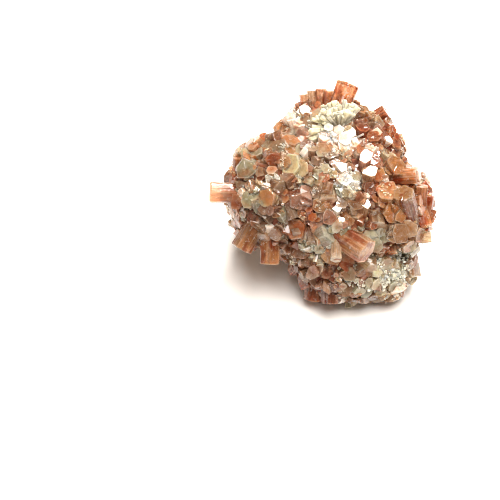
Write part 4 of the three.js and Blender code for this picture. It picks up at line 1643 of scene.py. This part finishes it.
@dataclass(frozen=True)
class CrystalFinish:
    """The look of one kind of crystal: how clear, how cloudy, how glossy, and how stained."""

    name: str
    transmission: float
    gloss: Pair
    subsurface: float = 0.8
    refraction: float = 1.25
    coat: float = 1.0
    coat_rough: float = 0.05
    coat_refraction: float = 1.4
    scatter_reach: float = 0.0007
    scatter_colour: Vec = (1.0, 0.85, 0.7)
    veil: float = 0.25
    stain_and_gap_shade: float = 0.3
    streak: float = 0.5
    lift: float = 0.35
    relief: float = 0.00003
    pits: float = 0.2
    bloom: float = 0.7
    mottle: float = 0.2
    sugar: float = 0.4
    inclusion: float = 0.0
    veil_colour: str = "#f6ead8"
    sugar_colour: str = "#fffaf0"
    stain_colour: str = "#8a3a1c"
    bloom_colour: str = "#e49a68"
    inclusion_colour: str = "#bc6230"

    def material(self) -> bpy.types.Material:
        """Make the material.

        The tint of each point is darkened and lightened in streaks along the crystal, veiled with milky
        clouds, and stained with iron in specks. The finest stripes roughen the sides.

        Returns:
            The material.
        """
        nodes = NodeTree(self.name)
        side = nodes.sum("SUBTRACT", 1.0, nodes.attribute("end", "Fac"))
        shades = (1 - self.streak, 1 + self.lift * self.streak)
        streaks = nodes.fitted(nodes.cloud(STREAKS), STREAKS.span, shades)
        colour = nodes.mixed(side, nodes.attribute("tint", "Color"), streaks, "MULTIPLY")
        colour = nodes.laid(colour, VEIL, self.veil, self.veil_colour, "MIX")
        mottle = nodes.fitted(nodes.cloud(MOTTLE), MOTTLE.span, (1 - self.mottle, 1 + self.mottle))
        colour = nodes.mixed(1.0, colour, mottle, "MULTIPLY")
        colour = nodes.laid(colour, SUGAR, self.sugar, self.sugar_colour, "MIX")
        colour = nodes.laid(colour, BLOOM, self.bloom, self.bloom_colour)
        colour = nodes.laid(colour, INCLUSIONS, self.inclusion, self.inclusion_colour)
        colour = nodes.laid(colour, STAIN, self.stain_and_gap_shade, self.stain_colour)
        stripes = nodes.cloud(STRIPES)
        pits = nodes.sum("MULTIPLY", nodes.cloud(PITS), self.pits)
        height = nodes.sum("ADD", nodes.sum("MULTIPLY", stripes, side), pits)
        return nodes.surface({
            "Base Color": colour, "Roughness": nodes.fitted(stripes, STRIPES.span, self.gloss),
            "Normal": nodes.bump(height, self.relief), "IOR": self.refraction, "Coat Weight": self.coat,
            "Coat Roughness": self.coat_rough, "Coat IOR": self.coat_refraction,
            "Transmission Weight": self.transmission, "Subsurface Weight": self.subsurface,
            "Subsurface Radius": self.scatter_colour, "Subsurface Scale": self.scatter_reach,
        })


@dataclass(frozen=True)
class MatrixFinish:
    """The look of the matrix: dull and earthy, over a tint that is stained and darkened as painted gap shade.
    """

    name: str = "stained_matrix_with_painted_gap_shade"
    rough: float = 0.8
    relief: float = 0.0003
    mottle: Pair = (0.55, 1.5)
    subsurface: float = 0.6
    scatter_colour: Vec = (1.0, 0.5, 0.3)
    scatter_reach: float = 0.001

    def material(self) -> bpy.types.Material:
        """Make the material: the tint mottled by clouds, with a grainy bump.

        Returns:
            The material.
        """
        nodes = NodeTree(self.name)
        mottle = nodes.fitted(nodes.cloud(EARTH), EARTH.span, self.mottle)
        return nodes.surface({
            "Base Color": nodes.mixed(1.0, nodes.attribute("tint", "Color"), mottle, "MULTIPLY"),
            "Normal": nodes.bump(nodes.cloud(GRIT), self.relief), "Roughness": self.rough,
            "Subsurface Weight": self.subsurface, "Subsurface Radius": self.scatter_colour,
            "Subsurface Scale": self.scatter_reach,
        })


@dataclass(frozen=True)
class Finishes:
    """Every finish of the cluster."""

    clear: CrystalFinish = CrystalFinish(
        "clear_prism", 0.6, (0.05, 0.18), refraction=1.3, veil=0.2, streak=0.55, coat=0.4, bloom=0.1,
        inclusion=0.75,
    )
    fan: CrystalFinish = CrystalFinish(
        "glassy_fan", 0.15, (0.08, 0.25), 0.9, scatter_reach=0.0015, scatter_colour=(1.0, 0.98, 0.92),
        streak=0.3, bloom=0.1, sugar=0.2, veil_colour="#f0ecc8",
    )
    milky: CrystalFinish = CrystalFinish("milky_crystal", 0.15, (0.1, 0.3), veil=0.4, streak=0.3)
    prism: CrystalFinish = CrystalFinish("satin_prism", 0.65, (0.06, 0.20))
    small: CrystalFinish = CrystalFinish("small_crystal", 0.65, (0.08, 0.25))
    crust: CrystalFinish = CrystalFinish(
        "sugary_crust", 0.15, (0.15, 0.4), 0.9, scatter_reach=0.0012, veil=0.3, bloom=0.15,
    )
    bright: CrystalFinish = CrystalFinish("bright_crystal", 0.4, (0.05, 0.1), veil=0.15, bloom=0.1, sugar=0.1)
    matrix: MatrixFinish = MatrixFinish()

    def made(self) -> dict[str, bpy.types.Material]:
        """Make the material of every finish, by the finish's name here."""
        return {name: getattr(self, name).material() for name in self.__dataclass_fields__}


MIDDLING = PrismForm(
    steps=3, corner_play=0.2, corner_swing=0.26, stretch=0.4, chip=0.2, first_end_ring=4,
    rings=((0.0, 0.8, 0.0), (1.0, 0.97, 0.6), (1.0, 1.0, 0.06), (1.0, 0.97, 0.01), (1.0, 0.86, 0.0)),
)
SLIGHT = PrismForm(
    steps=2, corner_play=0.22, corner_swing=0.28, stretch=0.4, chip=0.2, first_end_ring=3,
    rings=((0.0, 0.8, 0.0), (1.0, 0.98, 0.5), (1.0, 1.0, 0.1), (1.0, 0.88, 0.0)),
)
GRAIN = PrismForm(
    steps=1, corner_play=0.2, corner_round=0.0, ridge=0.0, chip=0.3, deepness=0.2, first_end_ring=2,
    rings=((0.0, 0.8, 0.0), (1.0, 1.0, 0.12), (1.0, 0.75, 0.0)),
)
SPOKE = PrismForm(
    steps=1, corner_play=0.2, corner_swing=0.3, stretch=0.5, corner_round=0.0, ridge=0.0, chip=0.3,
    deepness=0.0, heart=0.2, first_end_ring=2, rings=((0.0, 0.5, 0.0), (1.0, 1.0, 0.12), (1.0, 0.75, 0.0)),
)
EVEN_ENDED = PrismForm(
    corner_play=0.25, corner_swing=0.3, stretch=0.35, sector=0.0, terrace=0.0, chip=0.0, chipped_share=0.0,
)
PROUD = PrismForm(
    corner_play=0.05, corner_swing=0.05, stretch=0.04, chipped_share=0.3, chip=0.08, terrace=0.2,
    deepness=0.75, heart=0.4,
)


@dataclass(frozen=True)
class Cluster:
    """The whole cluster, built layer by layer from the largest crystals to the crust.

    A clearing is how much of the radius of the bright crystals, and of the blocks, is kept free of smaller
    ones.
    """

    body: Body = Body()
    finishes: Finishes = Finishes()
    great: PrismForm = PrismForm()
    proud_stand: float = 2.25
    reach: Pair = (25.6, 22.5)
    middling: Filling = Filling(2200, (2.8, 5.2), (-0.4, 1.8), 0.68, 0.55, 0.62, 1.8, 11, bundle_lean=0.35)
    middling_clearing: Pair = (1.2, 0.7)
    small: Filling = Filling(2800, (1.3, 2.7), (-0.3, 1.7), 1.1, 0.5, 0.7, 1.2, 13)
    small_clearing: Pair = (1.0, 0.65)
    twinning: Twinning = Twinning()
    seed: int = 5

    def _surface(self, form: PrismForm, crystals: Crystals, random: Chance) -> Surface:
        """Build crystals and hold them above the flat they rest on.

        Args:
            form: How they are cut.
            crystals: Where they stand.
            random: The source of chance.

        Returns:
            Their surface.
        """
        surface = form.build(crystals, Colouring(self.body), random)
        surface.points[:, 2] = np.maximum(surface.points[:, 2], 0)
        return surface

    def build(self) -> list[bpy.types.Object]:
        """Make every layer.

        Returns:
            The pieces.
        """
        random = np.random.default_rng(self.seed)
        colouring = Colouring(self.body)
        growth = Growth(self.body)
        shown, spokes, spread = growth.grow()
        extra, bright, blocks = (growth.listed(listed, Stream(self.seed + step))
                                 for step, listed in enumerate((SMALL_SPOTS, GLINTS, BLOCKS)))
        great = Crystals.joined(shown, spokes, spread)
        middling = self.middling.grow(colouring, Crystals.joined(great, bright, blocks))
        middling = Crystals.joined(middling, self.twinning.partners(middling, random))
        by_bright, by_blocks = self.middling_clearing
        middling = middling.clear_of(bright, by_bright).clear_of(blocks, by_blocks).within(self.reach)
        small = self.small.grow(colouring, Crystals.joined(great, extra, bright, blocks, middling))
        small_by_bright, small_by_blocks = self.small_clearing
        small = small.clear_of(bright, small_by_bright).clear_of(blocks, small_by_blocks).within(self.reach)
        sprays = Crystals.joined(spokes, Sprays().grow(colouring, great))
        grains = Crust().grow(colouring)
        frost = Frosting().grow(Crystals.joined(shown, extra, middling))
        proud = shown.stand > self.proud_stand
        display = Crystals.joined(shown.kept(~proud), extra, blocks)
        partners = self.twinning.partners(display, random).clear_of(bright, by_bright)
        display = Crystals.joined(display, partners)
        layers, chalk = ((self.great, display), (MIDDLING, middling), (SLIGHT, small)), CHALK.place
        chalky = [self._surface(form, layer.kept(layer.tone == chalk), random) for form, layer in layers]
        display, middling, small = (layer.kept(layer.tone != chalk) for _, layer in layers)
        paint = self.finishes.made()
        pieces = (
            ("matrix_skin", "matrix", Matrix(colouring).build()),
            ("proud_prisms", "clear", self._surface(PROUD, shown.kept(proud), random)),
            ("display_prisms", "prism", self._surface(self.great, display, random)),
            ("spread_prisms", "prism", self._surface(self.great, spread, random)),
            ("middling_crystals", "prism", self._surface(MIDDLING, middling, random)),
            ("small_crystals", "small", self._surface(SLIGHT, small, random)),
            ("chalky_crystals", "milky", Surface.joined(*chalky)),
            ("fan_spokes", "fan", self._surface(SPOKE, sprays, random)),
            ("sugary_crust", "crust", self._surface(GRAIN, grains, random)),
            ("frosting", "crust", self._surface(GRAIN, frost, random)),
            ("bright_crystals", "bright", self._surface(EVEN_ENDED, bright, random)),
        )
        return [surface.piece(name, paint[finish]) for name, finish, surface in pieces]


@dataclass(frozen=True)
class Floor:
    """A plain pale floor, far wider than the picture."""

    half: float = 3.0
    colour: str = "#f4f2f0"
    rough: float = 0.9

    def build(self) -> bpy.types.Object:
        """Lay the floor under the cluster.

        Returns:
            The floor.
        """
        mesh = bpy.data.meshes.new("floor")
        corners = [(x * self.half, y * self.half, 0.0) for x, y in ((-1, -1), (1, -1), (1, 1), (-1, 1))]
        mesh.from_pydata(corners, [], [(0, 1, 2, 3)])
        nodes = NodeTree("pale_floor")
        mesh.materials.append(nodes.surface({"Base Color": colour4(self.colour), "Roughness": self.rough}))
        floor = in_scene("floor", mesh)
        return floor


@dataclass(frozen=True)
class Lamp:
    """A soft square light: where it is seen from the cluster, how far off, how large and how strong."""

    name: str
    towards: Vec
    distance: float
    size: float
    watts: float
    colour: Vec

    def hang(self, target: Array) -> None:
        """Hang the light and turn it to the target.

        Args:
            target: What it lights, in metres.
        """
        data = bpy.data.lights.new(self.name, "AREA")
        data.shape, data.size, data.energy, data.color = "SQUARE", self.size, self.watts, self.colour
        set_up(in_scene(self.name, data), target + unit(np.array(self.towards)) * self.distance, self.towards)


@dataclass(frozen=True)
class Studio:
    """The camera, the lights and the sky of the picture."""

    aim: Pair = (-17.316, -11.766)
    distance: float = 463.0
    lens: float = 150.0
    clip: Pair = (0.01, 20.0)
    lamps: tuple[Lamp, ...] = (
        Lamp("window_above", (0.16, 0.54, 0.82), 0.7, 0.16, 6.5, (1.0, 0.96, 0.9)),
        Lamp("ceiling", (0.09, -0.29, 0.95), 1.0, 0.55, 17.5, (1.0, 0.97, 0.93)),
    )
    sky: float = 0.3
    sky_colour: str = "#ffeedc"
    sharpness: float = 1.0

    def build(self, body: Body) -> None:
        """Set up the camera, the lights and the sky.

        Args:
            body: The body that the camera and the lights are set round.
        """
        scene = bpy.context.scene
        data = bpy.data.cameras.new("camera")
        data.lens = self.lens
        data.clip_start, data.clip_end = self.clip
        scene.camera = in_scene("camera", data)
        target = np.array(body.middle) + body.face.turned(self.aim)
        set_up(scene.camera, (target + self.distance * body.face.outward) * MM, body.face.outward)
        for lamp in self.lamps:
            lamp.hang(np.array(body.middle) * MM)
        scene.world = bpy.data.worlds.new("sky")
        scene.world.use_nodes = True
        background = scene.world.node_tree.nodes["Background"]
        background.inputs["Color"].default_value = colour4(self.sky_colour)
        background.inputs["Strength"].default_value = self.sky
        scene.cycles.filter_width = self.sharpness
        scene.view_settings.view_transform = "Standard"
        scene.view_settings.look = "None"


def main() -> None:
    """Build the cluster, the floor, the light and the camera."""
    logging.basicConfig(level=logging.INFO, format="%(name)s: %(message)s")
    cluster = Cluster()
    pieces = cluster.build()
    LOG.info("%d pieces", len(pieces))
    Floor().build()
    Studio().build(cluster.body)


if __name__ == "__main__":
    main()
